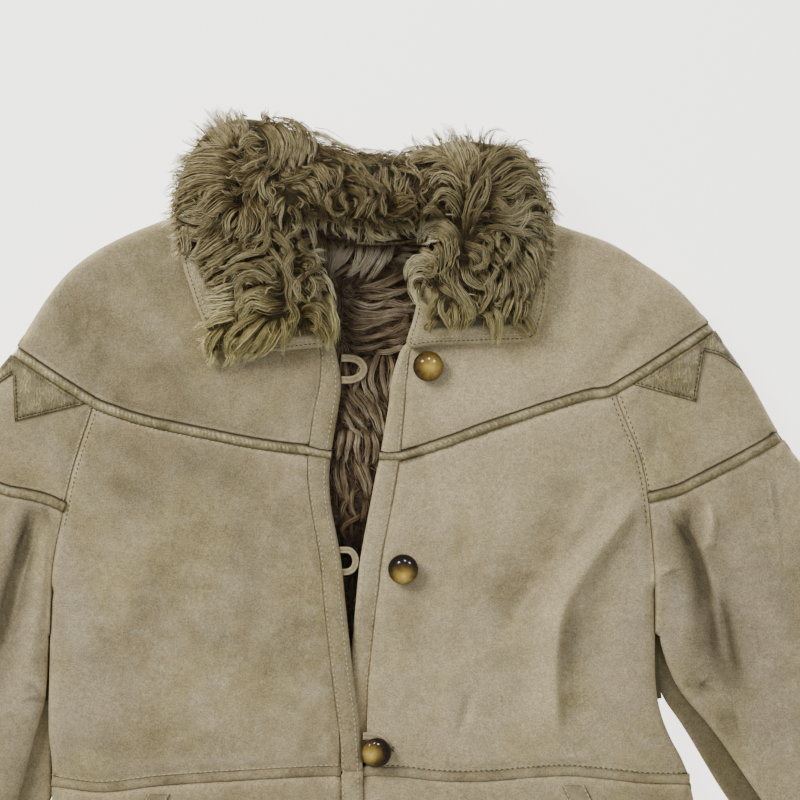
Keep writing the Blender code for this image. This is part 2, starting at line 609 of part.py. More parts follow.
def build_body_side(side):
    right = side == "R"
    seam = body("seam_r" if right else "seam_l")
    free = body("edge_r" if right else "edge_l")
    flank = body("side_r" if right else "side_l")
    yoke = line_of(YOKE_R if right else YOKE_L)
    waist = line_of(WAIST_R if right else WAIST_L)
    hem = line_of(HEM)
    shoulder = line_of(SHOULDER_R if right else SHOULDER_L)
    neck = line_of(NECK_R if right else NECK_L)
    out = -1.0 if right else 1.0
    seam_side = moved(seam, out * GAP / 2.0)
    flank_in = moved(flank, -out * GAP / 2.0)
    above_yoke = moved(yoke, PIPING_WIDTH / 2.0 + GAP)
    below_yoke = moved(yoke, -PIPING_WIDTH / 2.0 - GAP)
    above_waist = moved(waist, STRIP_WIDTH / 2.0 + GAP)
    below_waist = moved(waist, -STRIP_WIDTH / 2.0 - GAP)
    neck_top = 375.0 if right else 376.0

    tip_x, tip_y = meet_across(above_yoke, shoulder, -300.0 if right else 302.0, out)
    a = meet(above_yoke, seam_side, 155.0)
    yoke_outline = joined(
        across(above_yoke, tip_x, a[0]), along(seam_side, a[1], 261.0),
        along(neck, 262.0, neck_top, "seam"),
        across(shoulder, neck(neck_top), tip_x, "rim"))
    front_panel("front_yoke_" + side, yoke_outline)

    b = meet(below_yoke, seam_side, 150.0)
    c = meet(below_yoke, flank_in, 190.0)
    d = meet(above_waist, flank_in, -120.0)
    e = meet(above_waist, seam_side, -113.0)
    arm_end = 30.0
    front_outline = joined(
        across(below_yoke, b[0], c[0]), along(flank_in, c[1], arm_end),
        along(flank_in, arm_end - 1.0, d[1], "rim"), across(above_waist, d[0], e[0]),
        along(seam_side, e[1], b[1]))
    front_panel("front_" + side, front_outline)

    f = meet(below_waist, flank_in, -130.0)
    g = meet(below_waist, seam_side, -122.0)
    h = meet(hem, flank_in, -468.0)
    k = meet(hem, seam_side, -472.0)
    skirt_outline = joined(
        across(below_waist, g[0], f[0]), along(flank_in, f[1], h[1], "rim"),
        across(hem, h[0], k[0], "rim"), along(seam_side, k[1], g[1]))
    welt = welt_region(side)
    welt_points = [p for run in zip(welt, welt[1:] + welt[:1]) for p in spread(*run, 25.0)]
    skirt = front_panel("front_skirt_" + side, skirt_outline, keep=welt_points)
    trim_on("pocket_welt_" + side, skirt, grown(welt, 0.5), TRIM_LIFT, TRIM_WALL, "suede_dark")

    build_bands(side, seam, free, waist, hem, out)
    strip_x = [meet(waist, seam, -118.0)[0] + out * 0.5, meet(waist, flank, -120.0)[0] - out * 0.5]
    raised_strip("waist_strip_" + side, [(x, waist(x)) for x in stations(min(strip_x), max(strip_x))],
                 STRIP_WIDTH, FRONT_BASE, lambda x, y: front_surface(x, y) - SEAM_DROP, STRIP_RISE,
                 "suede_dark")


def meet_across(first, second, guess, out):
    # Where two across lines cross, searched inwards from guess
    x = guess
    while (first(x) - second(x)) * (first(guess) - second(guess)) > 0 and abs(x - guess) < 40.0:
        x -= out * 0.1
    return x, first(x)


def spread(a, b, step):
    # Points along a straight stretch, without its far end
    count = max(1, round(math.dist(a, b) / step))
    return [(blend(a[0], b[0], i / count), blend(a[1], b[1], i / count)) for i in range(count)]


def grown(region, amount):
    cx = sum(p[0] for p in region) / len(region)
    cy = sum(p[1] for p in region) / len(region)
    return [(x + amount * math.copysign(1.0, x - cx), y + amount * math.copysign(1.0, y - cy))
            for x, y in region]


def welt_region(side):
    x, y, slant = WELTS[side]
    out = -1.0 if side == "R" else 1.0
    angle = math.radians(abs(slant))
    along_x, along_y = out * math.sin(angle), -math.cos(angle)
    far = (x + along_x * WELT_LENGTH, y + along_y * WELT_LENGTH)
    wide = (out * WELT_WIDTH / math.cos(angle), 0.0)
    return [(x, y - 4.0), (far[0], far[1]), (far[0] + wide[0], far[1]), (x + wide[0], y - 4.0)]


def build_bands(side, seam, free, waist, hem, out):
    # The band on the free front edge, in one stretch on the front and one on the skirt
    inner = moved(seam, -out * GAP / 2.0)
    over = side == "R"

    def height(outline):
        plain = front_top(outline)

        def level(x, y):
            drop = front_surface(x, y) - plain(x, y)
            apart = FRONT_TOP + BAND_RISE * ease((215.0 - y) / 20.0) - 0.7 * drop
            closed = (BAND_OVER if over else BAND_UNDER) - 0.5 * drop
            return blend(apart, closed, lapped(y))
        return level

    def base(x, y):
        return blend(FRONT_BASE, BAND_UNDER + GAP, lapped(y)) if over else FRONT_BASE

    cut = meet(waist, inner, -118.0)[1]
    low = meet(hem, inner, -472.0)[1]
    for name, high, end in (("front_band_", 262.0, cut + GAP / 2.0), ("skirt_band_", cut - GAP / 2.0, low)):
        outline = joined(along(inner, high, end), along(free, end, high, "rim"))
        front_panel(name + side, outline, base=base, spacing=11.0, top=height(outline))


def build_sleeve(side):
    right = side == "R"
    out = -1.0 if right else 1.0
    line = SLEEVE[side]
    yoke = line_of(YOKE_R if right else YOKE_L)
    seam = line_of(SLEEVE_SEAM_R if right else SLEEVE_SEAM_L)
    cuff = line_of(CUFF_R if right else CUFF_L)
    below_yoke = moved(yoke, -PIPING_WIDTH / 2.0 - GAP)
    above_seam = moved(seam, PIPING_WIDTH / 2.0 + GAP)
    below_seam = moved(seam, -PIPING_WIDTH / 2.0 - GAP)
    inner = moved(line["inner"], out * GAP / 2.0)
    outer = line["outer"]
    tip = meet_lines(below_yoke, outer, 240.0)

    a = meet(below_yoke, inner, 200.0)
    c = meet(above_seam, inner, 112.0)
    d = meet(above_seam, outer, 150.0)
    upper = joined(across(below_yoke, a[0], tip[0]), along(outer, tip[1], d[1], "rim"),
                   across(above_seam, d[0], c[0]), along(inner, c[1], a[1]))
    trim = trim_region(side, below_yoke)
    trim_points = [p for run in zip(trim, trim[1:]) for p in spread(*run, 12.0)]
    keep = [p for p in trim_points if inside(*p, upper) and min(edge_distances(*p, upper)) > 3.0]
    panel = front_panel("sleeve_upper_front_" + side, upper, keep=keep, spacing=18.0)
    trim_on("triangle_trim_" + side, panel, trim, TRIM_LIFT, TRIM_WALL, "piping")

    e = meet(below_seam, inner, 100.0)
    f = meet(below_seam, outer, 140.0)
    g = meet(cuff, outer, -300.0)
    h = meet(cuff, inner, -360.0)
    lower = joined(across(below_seam, e[0], f[0]), along(outer, f[1], g[1], "rim"),
                   across(cuff, g[0], h[0], "rim"), along(inner, h[1], -6.0, "rim"),
                   along(inner, -5.0, e[1]))
    front_panel("sleeve_lower_front_" + side, lower)
    build_sleeve_back(side, line_of(YOKE_BACK), seam, cuff, out)

    path = [(x, seam(x)) for x in stations(min(c[0], d[0]) + 1.5, max(c[0], d[0]) - 1.0)]
    raised_strip("sleeve_piping_" + side, path, PIPING_WIDTH, FRONT_BASE,
                 lambda x, y: front_surface(x, y) - SEAM_DROP - strip_end(x, d[0]), PIPING_RISE, "piping")


def strip_end(x, edge):
    # A strip rolls down with the cloth where it reaches an outer rim
    near = min(1.0, abs(x - edge) / RIM_WIDTH)
    return (RIM_DROP - 2.5) * (1.0 - math.sqrt(1.0 - (1.0 - near) ** 2))


def meet_lines(y_of_x, x_of_y, guess):
    y = guess
    for _ in range(200):
        y = blend(y, y_of_x(x_of_y(y)), 0.25)
    return x_of_y(y), y


def trim_region(side, edge):
    # Closed region of the triangle trim: along the piping, then back over the points
    points = TRIM_R if side == "R" else TRIM_L
    start, end = points[0][0], points[-1][0]
    top = [(x, edge(x)) for x in stations(end, start, 12.0)]
    return list(points) + top


def build_sleeve_back(side, yoke, seam, cuff, out):
    line = SLEEVE[side]
    inner = moved(line["under"], out * GAP / 2.0)
    outer = line["outer"]
    below_yoke = moved(yoke, -GAP / 2.0)
    above_seam, below_seam = moved(seam, GAP / 2.0), moved(seam, -GAP / 2.0)
    a = meet(below_yoke, inner, 200.0)
    tip = meet_lines(below_yoke, outer, 240.0)
    c, d = meet(above_seam, inner, 112.0), meet(above_seam, outer, 150.0)
    back_panel("sleeve_upper_back_" + side, joined(
        across(below_yoke, a[0], tip[0]), along(outer, tip[1], d[1], "rim"),
        across(above_seam, d[0], c[0]), along(inner, c[1], a[1])), "suede")
    e, f = meet(below_seam, inner, 100.0), meet(below_seam, outer, 140.0)
    g, h = meet(cuff, outer, -300.0), meet(cuff, inner, -360.0)
    back_panel("sleeve_lower_back_" + side, joined(
        across(below_seam, e[0], f[0]), along(outer, f[1], g[1], "rim"),
        across(cuff, g[0], h[0], "rim"), along(inner, h[1], -6.0, "rim"),
        along(inner, -5.0, e[1])), "suede")


def build_back():
    left, right = moved(body("side_l"), -GAP / 2.0), moved(body("side_r"), GAP / 2.0)
    yoke, waist, hem = line_of(YOKE_BACK), line_of(WAIST_BACK), line_of(HEM)
    neck = line_of(NECK_BACK)
    high, low = moved(yoke, GAP / 2.0), moved(yoke, -GAP / 2.0)
    tip_r = meet_across(high, line_of(SHOULDER_R), -300.0, -1.0)
    tip_l = meet_across(high, line_of(SHOULDER_L), 302.0, 1.0)
    back_panel("back_yoke", joined(
        across(high, tip_l[0], tip_r[0]),
        across(line_of(SHOULDER_R), tip_r[0], -90.0, "rim"),
        across(neck, -90.0, 105.0), across(line_of(SHOULDER_L), 105.0, tip_l[0], "rim")))
    a, b = meet(low, left, 200.0), meet(low, right, 190.0)
    above, below = moved(waist, GAP / 2.0), moved(waist, -GAP / 2.0)
    c, d = meet(above, left, -120.0), meet(above, right, -120.0)
    back_panel("back", joined(
        across(low, a[0], b[0]), along(right, b[1], 30.0), along(right, 29.0, d[1], "rim"),
        across(above, d[0], c[0]), along(left, c[1], 29.0, "rim"), along(left, 30.0, a[1])))
    e, f = meet(below, left, -120.0), meet(below, right, -120.0)
    g, h = meet(hem, left, -465.0), meet(hem, right, -465.0)
    back_panel("back_skirt", joined(
        across(below, e[0], f[0]), along(right, f[1], h[1], "rim"),
        across(hem, h[0], g[0], "rim"), along(left, g[1], e[1], "rim")))


def build_yoke_piping(side):
    right = side == "R"
    yoke = line_of(YOKE_R if right else YOKE_L)
    start = meet(yoke, body("seam_r" if right else "seam_l"), 150.0)[0]
    end = meet_lines(yoke, SLEEVE[side]["outer"], 240.0)[0]
    out = -1.0 if right else 1.0
    low, high = sorted((start + out * 2.2, end - out * 2.5))
    path = [(x, yoke(x)) for x in stations(low, high)]
    raised_strip("yoke_piping_" + side, path, PIPING_WIDTH, FRONT_BASE,
                 lambda x, y: front_surface(x, y) - SEAM_DROP - strip_end(x, end), PIPING_RISE, "piping")


def collar_station(t):
    keys = COLLAR_COLUMNS
    last = len(COLLAR_ROWS) - 1
    values = {}
    for k, name in enumerate(keys):
        rows = [(float(i), row[k]) for i, row in enumerate(COLLAR_ROWS)]
        if name.startswith("low"):
            i = min(int(t), last - 1)
            values[name] = blend(rows[i][1], rows[i + 1][1], t - i)
        else:
            values[name] = through(rows, t)
    return values


def build_collar(sections=43):
    # Round the neck: a flat underside, a steep fur crest at the neck and a slope to the rim
    shares = (0.0, 0.04, 0.13, 0.27, 0.42, 0.58, 0.75, 0.91, 1.0)
    rise = (0.25, 0.62, 0.92, 1.0, 0.93, 0.75, 0.50, 0.22, 0.0)
    points, rings = [], []
    for n in range(sections):
        s = collar_station(n * (len(COLLAR_ROWS) - 1) / (sections - 1))
        ring = []
        for share, level in zip(shares, rise):
            x, y = blend(s["xi"], s["xo"], share), blend(s["yi"], s["yo"], share)
            edge = blend(s["low_i"], s["low_o"], share) + 7.0
            top = blend(max(s["rim"], edge), s["crest"], level)
            ring.append(len(points))
            points.append((x, y, top))
        for share in (1.0, 0.5, 0.0):
            x, y = blend(s["xi"], s["xo"], share), blend(s["yi"], s["yo"], share)
            ring.append(len(points))
            points.append((x, y, blend(s["low_i"], s["low_o"], share)))
        rings.append(ring)
    faces = []
    count = len(rings[0])
    for near, far in zip(rings, rings[1:]):
        for i in range(count):
            j = (i + 1) % count
            faces.append((near[i], far[i], far[j], near[j]))
    faces.append(tuple(rings[0]))
    faces.append(tuple(rings[-1][::-1]))
    make_object("collar", points, faces, "collar_fur")


def build_button(row):
    b = dict(zip(BUTTON_COLUMNS, row))
    profile = ((SHANK_RADIUS, 0.0), (SHANK_RADIUS, SHANK_HEIGHT), (0.86 * BUTTON_RADIUS, SHANK_HEIGHT + 0.3),
               (BUTTON_RADIUS, SHANK_HEIGHT + 2.0), (0.95 * BUTTON_RADIUS, SHANK_HEIGHT + 4.4),
               (0.74 * BUTTON_RADIUS, SHANK_HEIGHT + 7.0), (0.40 * BUTTON_RADIUS, SHANK_HEIGHT + 8.6))
    turns = 20
    points = [(0.0, 0.0, 0.0)]
    for radius, z in profile:
        for k in range(turns):
            angle = 2.0 * math.pi * k / turns
            points.append((radius * math.cos(angle), radius * math.sin(angle), z))
    points.append((0.0, 0.0, SHANK_HEIGHT + 9.1))
    faces = [(0, 1 + (k + 1) % turns, 1 + k) for k in range(turns)]
    for ring in range(len(profile) - 1):
        low = 1 + ring * turns
        for k in range(turns):
            j = (k + 1) % turns
            faces.append((low + k, low + j, low + turns + j, low + turns + k))
    low = 1 + (len(profile) - 1) * turns
    faces += [(low + k, low + (k + 1) % turns, len(points) - 1) for k in range(turns)]
    way = math.radians(b["lean_way"])
    axis = Vector((-math.sin(way), math.cos(way), 0.0))
    seat = SHANK_RADIUS * math.sin(math.radians(b["lean"]))
    place = Matrix.Translation(Vector((b["x"], b["y"], b["z"] + seat)) * MM)
    place = place @ Matrix.Rotation(math.radians(b["lean"]), 4, axis)
    make_object(b["name"], points, faces, "button", place)


def build_loop(row, arc_steps=9):
    # A narrow suede strip that leaves the band's edge, turns round and comes back
    p = dict(zip(LOOP_COLUMNS, row))
    bend = min(LOOP_HALF, p["length"] - LOOP_WIDTH / 2.0 - 4.0)
    turn_x = p["x"] + p["length"] - bend - LOOP_WIDTH / 2.0
    path = [(p["x"], LOOP_HALF), (blend(p["x"], turn_x, 0.5), LOOP_HALF)]
    for k in range(arc_steps):
        angle = math.pi / 2.0 - math.pi * k / (arc_steps - 1)
        path.append((turn_x + bend * math.cos(angle), LOOP_HALF * math.sin(angle)))
    path += [(blend(p["x"], turn_x, 0.5), -LOOP_HALF), (p["x"], -LOOP_HALF)]
    profile = ((-0.5, 0.28), (-0.5, 0.72), (-0.3, 1.0), (0.3, 1.0), (0.5, 0.72), (0.5, 0.28),
               (0.3, 0.0), (-0.3, 0.0))
    points, rings = [], []
    for i, (x, y) in enumerate(path):
        a, b = path[max(i - 1, 0)], path[min(i + 1, len(path) - 1)]
        dx, dy = (b[0] - a[0], b[1] - a[1]) if 0 < i < len(path) - 1 else ((1.0, 0.0) if i == 0 else (-1.0, 0.0))
        size = math.hypot(dx, dy)
        ring = []
        for offset, level in profile:
            ring.append(len(points))
            points.append((x - dy / size * offset * LOOP_WIDTH, p["y"] + y + dx / size * offset * LOOP_WIDTH,
                           p["z"] + level * LOOP_WALL))
        rings.append(ring)
    count = len(profile)
    faces = []
    for near, far in zip(rings, rings[1:]):
        for i in range(count):
            j = (i + 1) % count
            faces.append((near[i], far[i], far[j], near[j]))
    faces.append(tuple(rings[0]))
    faces.append(tuple(rings[-1][::-1]))
    make_object(p["name"], points, faces, "suede_dark")


def main():
    for old in list(bpy.data.objects):
        bpy.data.objects.remove(old)
    build_back()
    for side in ("R", "L"):
        build_body_side(side)
        build_sleeve(side)
        build_yoke_piping(side)
    build_collar()
    for row in BUTTON_ROWS:
        build_button(row)
    for row in LOOP_ROWS:
        build_loop(row)


main()
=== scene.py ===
import math

import bmesh
import bpy
import numpy as np
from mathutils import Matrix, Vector
from mathutils.bvhtree import BVHTree
from mathutils.geometry import delaunay_2d_cdt


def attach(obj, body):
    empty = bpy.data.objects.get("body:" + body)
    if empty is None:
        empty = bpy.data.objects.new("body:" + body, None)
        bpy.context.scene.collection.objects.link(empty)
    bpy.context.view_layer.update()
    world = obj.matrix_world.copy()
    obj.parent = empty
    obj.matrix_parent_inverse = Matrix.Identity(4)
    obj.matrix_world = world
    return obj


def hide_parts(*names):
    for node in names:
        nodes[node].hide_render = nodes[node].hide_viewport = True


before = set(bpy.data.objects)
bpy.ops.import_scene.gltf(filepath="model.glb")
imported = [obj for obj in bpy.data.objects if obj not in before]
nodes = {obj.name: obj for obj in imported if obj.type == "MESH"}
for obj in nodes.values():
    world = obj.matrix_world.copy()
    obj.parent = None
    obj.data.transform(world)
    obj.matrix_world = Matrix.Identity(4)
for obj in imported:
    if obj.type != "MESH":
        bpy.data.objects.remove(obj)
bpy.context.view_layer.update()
mm = 0.001  # every table below is in millimetres, in the part's own frame
print("frame loaded:", len(nodes), "nodes")


# small helpers

def easeIn(t):
    t = np.clip(t, 0.0, 1.0)
    return t * t * (3.0 - 2.0 * t)


def softNoise(x, y, size, seed):
    # smooth random waves, about size millimetres across, from -1 to 1
    table = np.random.default_rng(seed).uniform(-1.0, 1.0, (64, 64))
    u, v = np.asarray(x) / size + 31.7, np.asarray(y) / size + 17.3
    i, j = np.floor(u).astype(int), np.floor(v).astype(int)
    a, b = easeIn(u - i), easeIn(v - j)
    i0, i1, j0, j1 = i % 64, (i + 1) % 64, j % 64, (j + 1) % 64
    low = table[i0, j0] * (1.0 - a) + table[i1, j0] * a
    high = table[i0, j1] * (1.0 - a) + table[i1, j1] * a
    return low * (1.0 - b) + high * b


def toSegments(points, starts, ends):
    # distance from each point to each straight stretch, and the share along it
    run = ends - starts
    size = np.maximum((run ** 2).sum(1), 1e-9)
    rel = points[:, None, :] - starts[None, :, :]
    t = np.clip((rel * run[None]).sum(2) / size[None], 0.0, 1.0)
    gap = rel - t[:, :, None] * run[None]
    return np.sqrt((gap ** 2).sum(2)), t


def insideLoop(points, loop):
    ax, ay = loop[:, 0], loop[:, 1]
    bx, by = np.roll(ax, -1), np.roll(ay, -1)
    px, py = points[:, 0][:, None], points[:, 1][:, None]
    crosses = (ay > py) != (by > py)
    slope = (bx - ax) / np.where(by == ay, 1e-9, by - ay)
    return (crosses & (px < ax + (py - ay) * slope)).sum(1) % 2 == 1


def smoothLine(points, spacing, closed=False):
    # a Catmull-Rom line through points, about spacing apart
    points = np.asarray(points, float)
    if closed:
        points = np.vstack([points[-1], points, points[:2]])
    else:
        points = np.vstack([2 * points[0] - points[1], points, 2 * points[-1] - points[-2]])
    found = []
    for a, b, c, d in zip(points, points[1:], points[2:], points[3:]):
        count = max(1, int(round(np.linalg.norm(c - b) / spacing)))
        t = (np.arange(count) / count)[:, None]
        found.append(0.5 * (2 * b + (c - a) * t + (2 * a - 5 * b + 4 * c - d) * t ** 2
                            + (3 * b - a - 3 * c + d) * t ** 3))
    if not closed:
        found.append(points[-2][None])
    return np.vstack(found)


def makeObject(name, points, faces, material, smooth=True):
    # points in millimetres; the object's place is in its mesh
    mesh = bpy.data.meshes.new(name)
    mesh.from_pydata((np.asarray(points) * mm).tolist(), [], faces)
    mesh.update()
    mesh.polygons.foreach_set("use_smooth", [smooth] * len(mesh.polygons))
    mesh.materials.append(material)
    made = bpy.data.objects.new(name, mesh)
    bpy.context.scene.collection.objects.link(made)
    return made


def setValues(obj, name, values):
    layer = obj.data.attributes.new(name, "FLOAT", "POINT")
    layer.data.foreach_set("value", np.asarray(values, np.float32))


def nodeMesh(name):
    # a merged copy of a CAD node's mesh: points in millimetres and its faces
    work = bmesh.new()
    work.from_mesh(nodes[name].data)
    bmesh.ops.remove_doubles(work, verts=work.verts, dist=1e-6)
    work.verts.ensure_lookup_table()
    points = np.array([v.co[:] for v in work.verts]) / mm
    faces = [[v.index for v in f.verts] for f in work.faces]
    normals = np.array([f.normal[:] for f in work.faces])
    work.free()
    return points, faces, normals


def longestLoop(edges):
    # the longest closed chain among directed edges
    follow = dict(edges)
    chains = []
    while follow:
        chain = [min(follow)]
        while chain[-1] in follow:
            chain.append(follow.pop(chain[-1]))
        chains.append(chain[:-1])
    return max(chains, key=len)


def undersideLoop(name):
    # the outline of a node's flat underside, anticlockwise seen from above
    points, faces, normals = nodeMesh(name)
    low = [f for f, n in zip(faces, normals) if n[2] < -0.7]
    edges = {(f[k], f[(k + 1) % 3]) for f in low for k in range(3)}
    loop = longestLoop((b, a) for a, b in edges if (b, a) not in edges)
    return points[loop], points


def surfaceOf(obj):
    return BVHTree.FromObject(obj, bpy.context.evaluated_depsgraph_get())


def dropOnto(points, tree, lift):
    # points moved straight down onto a surface; those that miss it are left out
    landed = []
    for x, y in points:
        hit = tree.ray_cast(Vector((x, y, 200.0)) * mm, Vector((0, 0, -1)))[0]
        if hit:
            landed.append((x, y, hit.z / mm + lift))
    return np.array(landed)


# materials

def srgb(code):
    channels = [int(code[k:k + 2], 16) / 255.0 for k in (1, 3, 5)]
    return [c / 12.92 if c <= 0.04045 else ((c + 0.055) / 1.055) ** 2.4 for c in channels] + [1.0]


def addNode(tree, kind, settings=None, links=None):
    node = tree.nodes.new(kind)
    for key, value in (settings or {}).items():
        if isinstance(key, str) and hasattr(node, key):
            setattr(node, key, value)
        else:
            node.inputs[key].default_value = value
    for key, source in (links or {}).items():
        tree.links.new(source, node.inputs[key])
    return node


def newMaterial(name, shader):
    made = bpy.data.materials.new(name)
    made.use_nodes = True
    tree = made.node_tree
    surface = tree.nodes["Principled BSDF"]
    for key, value in shader.items():
        surface.inputs[key].default_value = value
    return made, tree, surface


def ramp(tree, source, stops):
    node = addNode(tree, "ShaderNodeValToRGB", links={"Fac": source})
    marks = node.color_ramp.elements
    while len(marks) < len(stops):
        marks.new(0.5)
    for mark, (place, code) in zip(marks, stops):
        mark.position = place
        mark.color = srgb(code) if isinstance(code, str) else (code, code, code, 1.0)
    return node.outputs["Color"]


def mixColours(tree, how, amount, first, second):
    node = addNode(tree, "ShaderNodeMix", {"data_type": "RGBA", "blend_type": how, "clamp_factor": True})
    for socket, value in ((0, amount), (6, first), (7, second)):
        if isinstance(value, bpy.types.NodeSocket):
            tree.links.new(value, node.inputs[socket])
        else:
            node.inputs[socket].default_value = value
    return node.outputs[2]


def calc(tree, how, a, b=0.5, clamp=False):
    node = addNode(tree, "ShaderNodeMath", {"operation": how, "use_clamp": clamp})
    for socket, value in ((0, a), (1, b)):
        if isinstance(value, bpy.types.NodeSocket):
            tree.links.new(value, node.inputs[socket])
        else:
            node.inputs[socket].default_value = value
    return node.outputs[0]


def grain(tree, size, detail=3.0, rough=0.55, stretch=(1.0, 1.0, 1.0), turn=0.0):
    # noise whose blotches are about size millimetres across
    place = addNode(tree, "ShaderNodeTexCoord").outputs["Object"]
    if stretch != (1.0, 1.0, 1.0) or turn:
        place = addNode(tree, "ShaderNodeMapping", {"Scale": stretch, "Rotation": (0.0, 0.0, turn)},
                        {"Vector": place}).outputs[0]
    return addNode(tree, "ShaderNodeTexNoise", {"Scale": 1.0 / (size * mm), "Detail": detail, "Roughness": rough},
                   {"Vector": place}).outputs["Fac"]


def bump(tree, surface, height, depth, strength=1.0, after=None):
    node = addNode(tree, "ShaderNodeBump", {"Strength": strength, "Distance": depth * mm}, {"Height": height})
    if after is not None:
        tree.links.new(after, node.inputs["Normal"])
    tree.links.new(node.outputs[0], surface.inputs["Normal"])
    return node.outputs[0]


suedeLooks = {
    # lip is mixed in where the surface is lighter and deep where it is darker: painted highlight and painted shade,
    # together with the skin's own tone patches
    "deep": "#5C543F", "dark": "#988C6D", "middle": "#A79B79", "light": "#B6AA89", "lip": "#CDBE97",
    "cool": "#FFFBF8", "warm": "#FFFCF0",
    "blotch": 62.0,   # millimetres across the largest blotches
    "patch": 15.0,
    "mottle": 4.2,
    "nap": 1.25,      # the brushed nap, drawn a little coarser than the real fibres so that it shows
}


def suedeMaterial(name, looks, fleeceAbove=None):
    # The flesh side of sheepskin, tanned and brushed: dull, cloudy, with a short nap that catches the light
    made, tree, surface = newMaterial(name, {"Roughness": 0.94, "Sheen Weight": 0.16, "Sheen Roughness": 0.5,
                                             "Specular IOR Level": 0.2})
    surface.inputs["Sheen Tint"].default_value = srgb("#E9DFC4")
    large, patch = grain(tree, looks["blotch"], 4.0, 0.6), grain(tree, looks["patch"], 4.0, 0.62)
    mottle, nap = grain(tree, looks["mottle"], 3.0, 0.6), grain(tree, looks["nap"], 3.0, 0.7)
    cloud = calc(tree, "ADD", calc(tree, "MULTIPLY", large, 0.62), calc(tree, "MULTIPLY", patch, 0.38))
    colour = ramp(tree, cloud, [(0.36, looks["dark"]), (0.49, looks["middle"]), (0.62, looks["light"])])
    hue = ramp(tree, grain(tree, 48.0, 3.0, 0.55, (1.0, 0.7, 1.0), 0.9),
               [(0.40, looks["warm"]), (0.5, "#FFFFFF"), (0.60, looks["cool"])])
    colour = mixColours(tree, "MULTIPLY", 1.0, colour, hue)
    blush = addNode(tree, "ShaderNodeAttribute", {"attribute_name": "blush"}).outputs["Fac"]
    colour = mixColours(tree, "MIX", calc(tree, "MULTIPLY", blush, 0.45, True), colour, srgb("#A2968A"))
    # painted highlight and painted shade come in through the same attribute as the skin's tone patches: above zero
    # toward the lip colour, below zero toward the deep one
    toneShade = addNode(tree, "ShaderNodeAttribute", {"attribute_name": "toneAndShade"}).outputs["Fac"]
    brighter = calc(tree, "MULTIPLY", toneShade, 1.0, True)
    darker = calc(tree, "MULTIPLY", toneShade, -1.0, True)
    colour = mixColours(tree, "MIX", brighter, colour, srgb(looks["lip"]))
    colour = mixColours(tree, "MIX", darker, colour, srgb(looks["deep"]))
    colour = mixColours(tree, "MULTIPLY", 0.75, colour, ramp(tree, mottle, [(0.32, 0.84), (0.68, 1.14)]))
    colour = mixColours(tree, "MULTIPLY", 1.0, colour, ramp(tree, nap, [(0.30, 0.60), (0.70, 1.38)]))
    if fleeceAbove is not None:
        colour = mixColours(tree, "MIX", fleeceShare(tree, fleeceAbove), colour, fleeceColour(tree))
    tree.links.new(colour, surface.inputs["Base Color"])
    first = bump(tree, surface, patch, 1.6, 0.4)
    second = bump(tree, surface, mottle, 0.5, 0.4, first)
    bump(tree, surface, nap, 0.35, 0.5, second)
    return made


def fleeceShare(tree, height):
    place = addNode(tree, "ShaderNodeTexCoord").outputs["Object"]
    z = addNode(tree, "ShaderNodeSeparateXYZ", links={0: place}).outputs["Z"]
    return calc(tree, "GREATER_THAN", z, height * mm)


def fleeceColour(tree):
    curl = grain(tree, 7.0, 4.0, 0.65, (1.0, 2.2, 1.0))
    return ramp(tree, curl, [(0.32, "#2C2118"), (0.5, "#55463A"), (0.7, "#80705F")])


def pipingMaterial():
    # Smooth skiver leather rolled round a cord: wrinkled across, with a soft wax shine
    made, tree, surface = newMaterial("wrinkledPipingLeather", {
        "Roughness": 0.46, "Specular IOR Level": 0.42, "Coat Weight": 0.06, "Coat Roughness": 0.3})
    wide = grain(tree, 26.0, 3.0)
    fine = grain(tree, 2.6, 4.0, 0.7)
    colour = ramp(tree, wide, [(0.36, "#83784F"), (0.5, "#968A61"), (0.64, "#A99D74")])
    colour = mixColours(tree, "MULTIPLY", 0.8, colour, ramp(tree, fine, [(0.32, 0.5), (0.5, 0.95), (0.64, 1.35)]))
    # painted highlights on the crest toward the pale colour, painted shadow along the edges toward the dark one
    toneShade = addNode(tree, "ShaderNodeAttribute", {"attribute_name": "toneAndShade"}).outputs["Fac"]
    colour = mixColours(tree, "MIX", calc(tree, "MULTIPLY", toneShade, -1.0, True), colour, srgb("#3A301A"))
    colour = mixColours(tree, "MIX", calc(tree, "MULTIPLY", toneShade, 1.0, True), colour, srgb("#DFD5AC"))
    tree.links.new(colour, surface.inputs["Base Color"])
    cells = addNode(tree, "ShaderNodeTexVoronoi", {"Scale": 1.0 / (2.2 * mm), "feature": "DISTANCE_TO_EDGE"},
                    {"Vector": addNode(tree, "ShaderNodeTexCoord").outputs["Object"]}).outputs["Distance"]
    first = bump(tree, surface, fine, 0.8, 0.5)
    bump(tree, surface, ramp(tree, cells, [(0.0, 0.0), (0.25, 1.0)]), 0.3, 0.4, first)
    return made


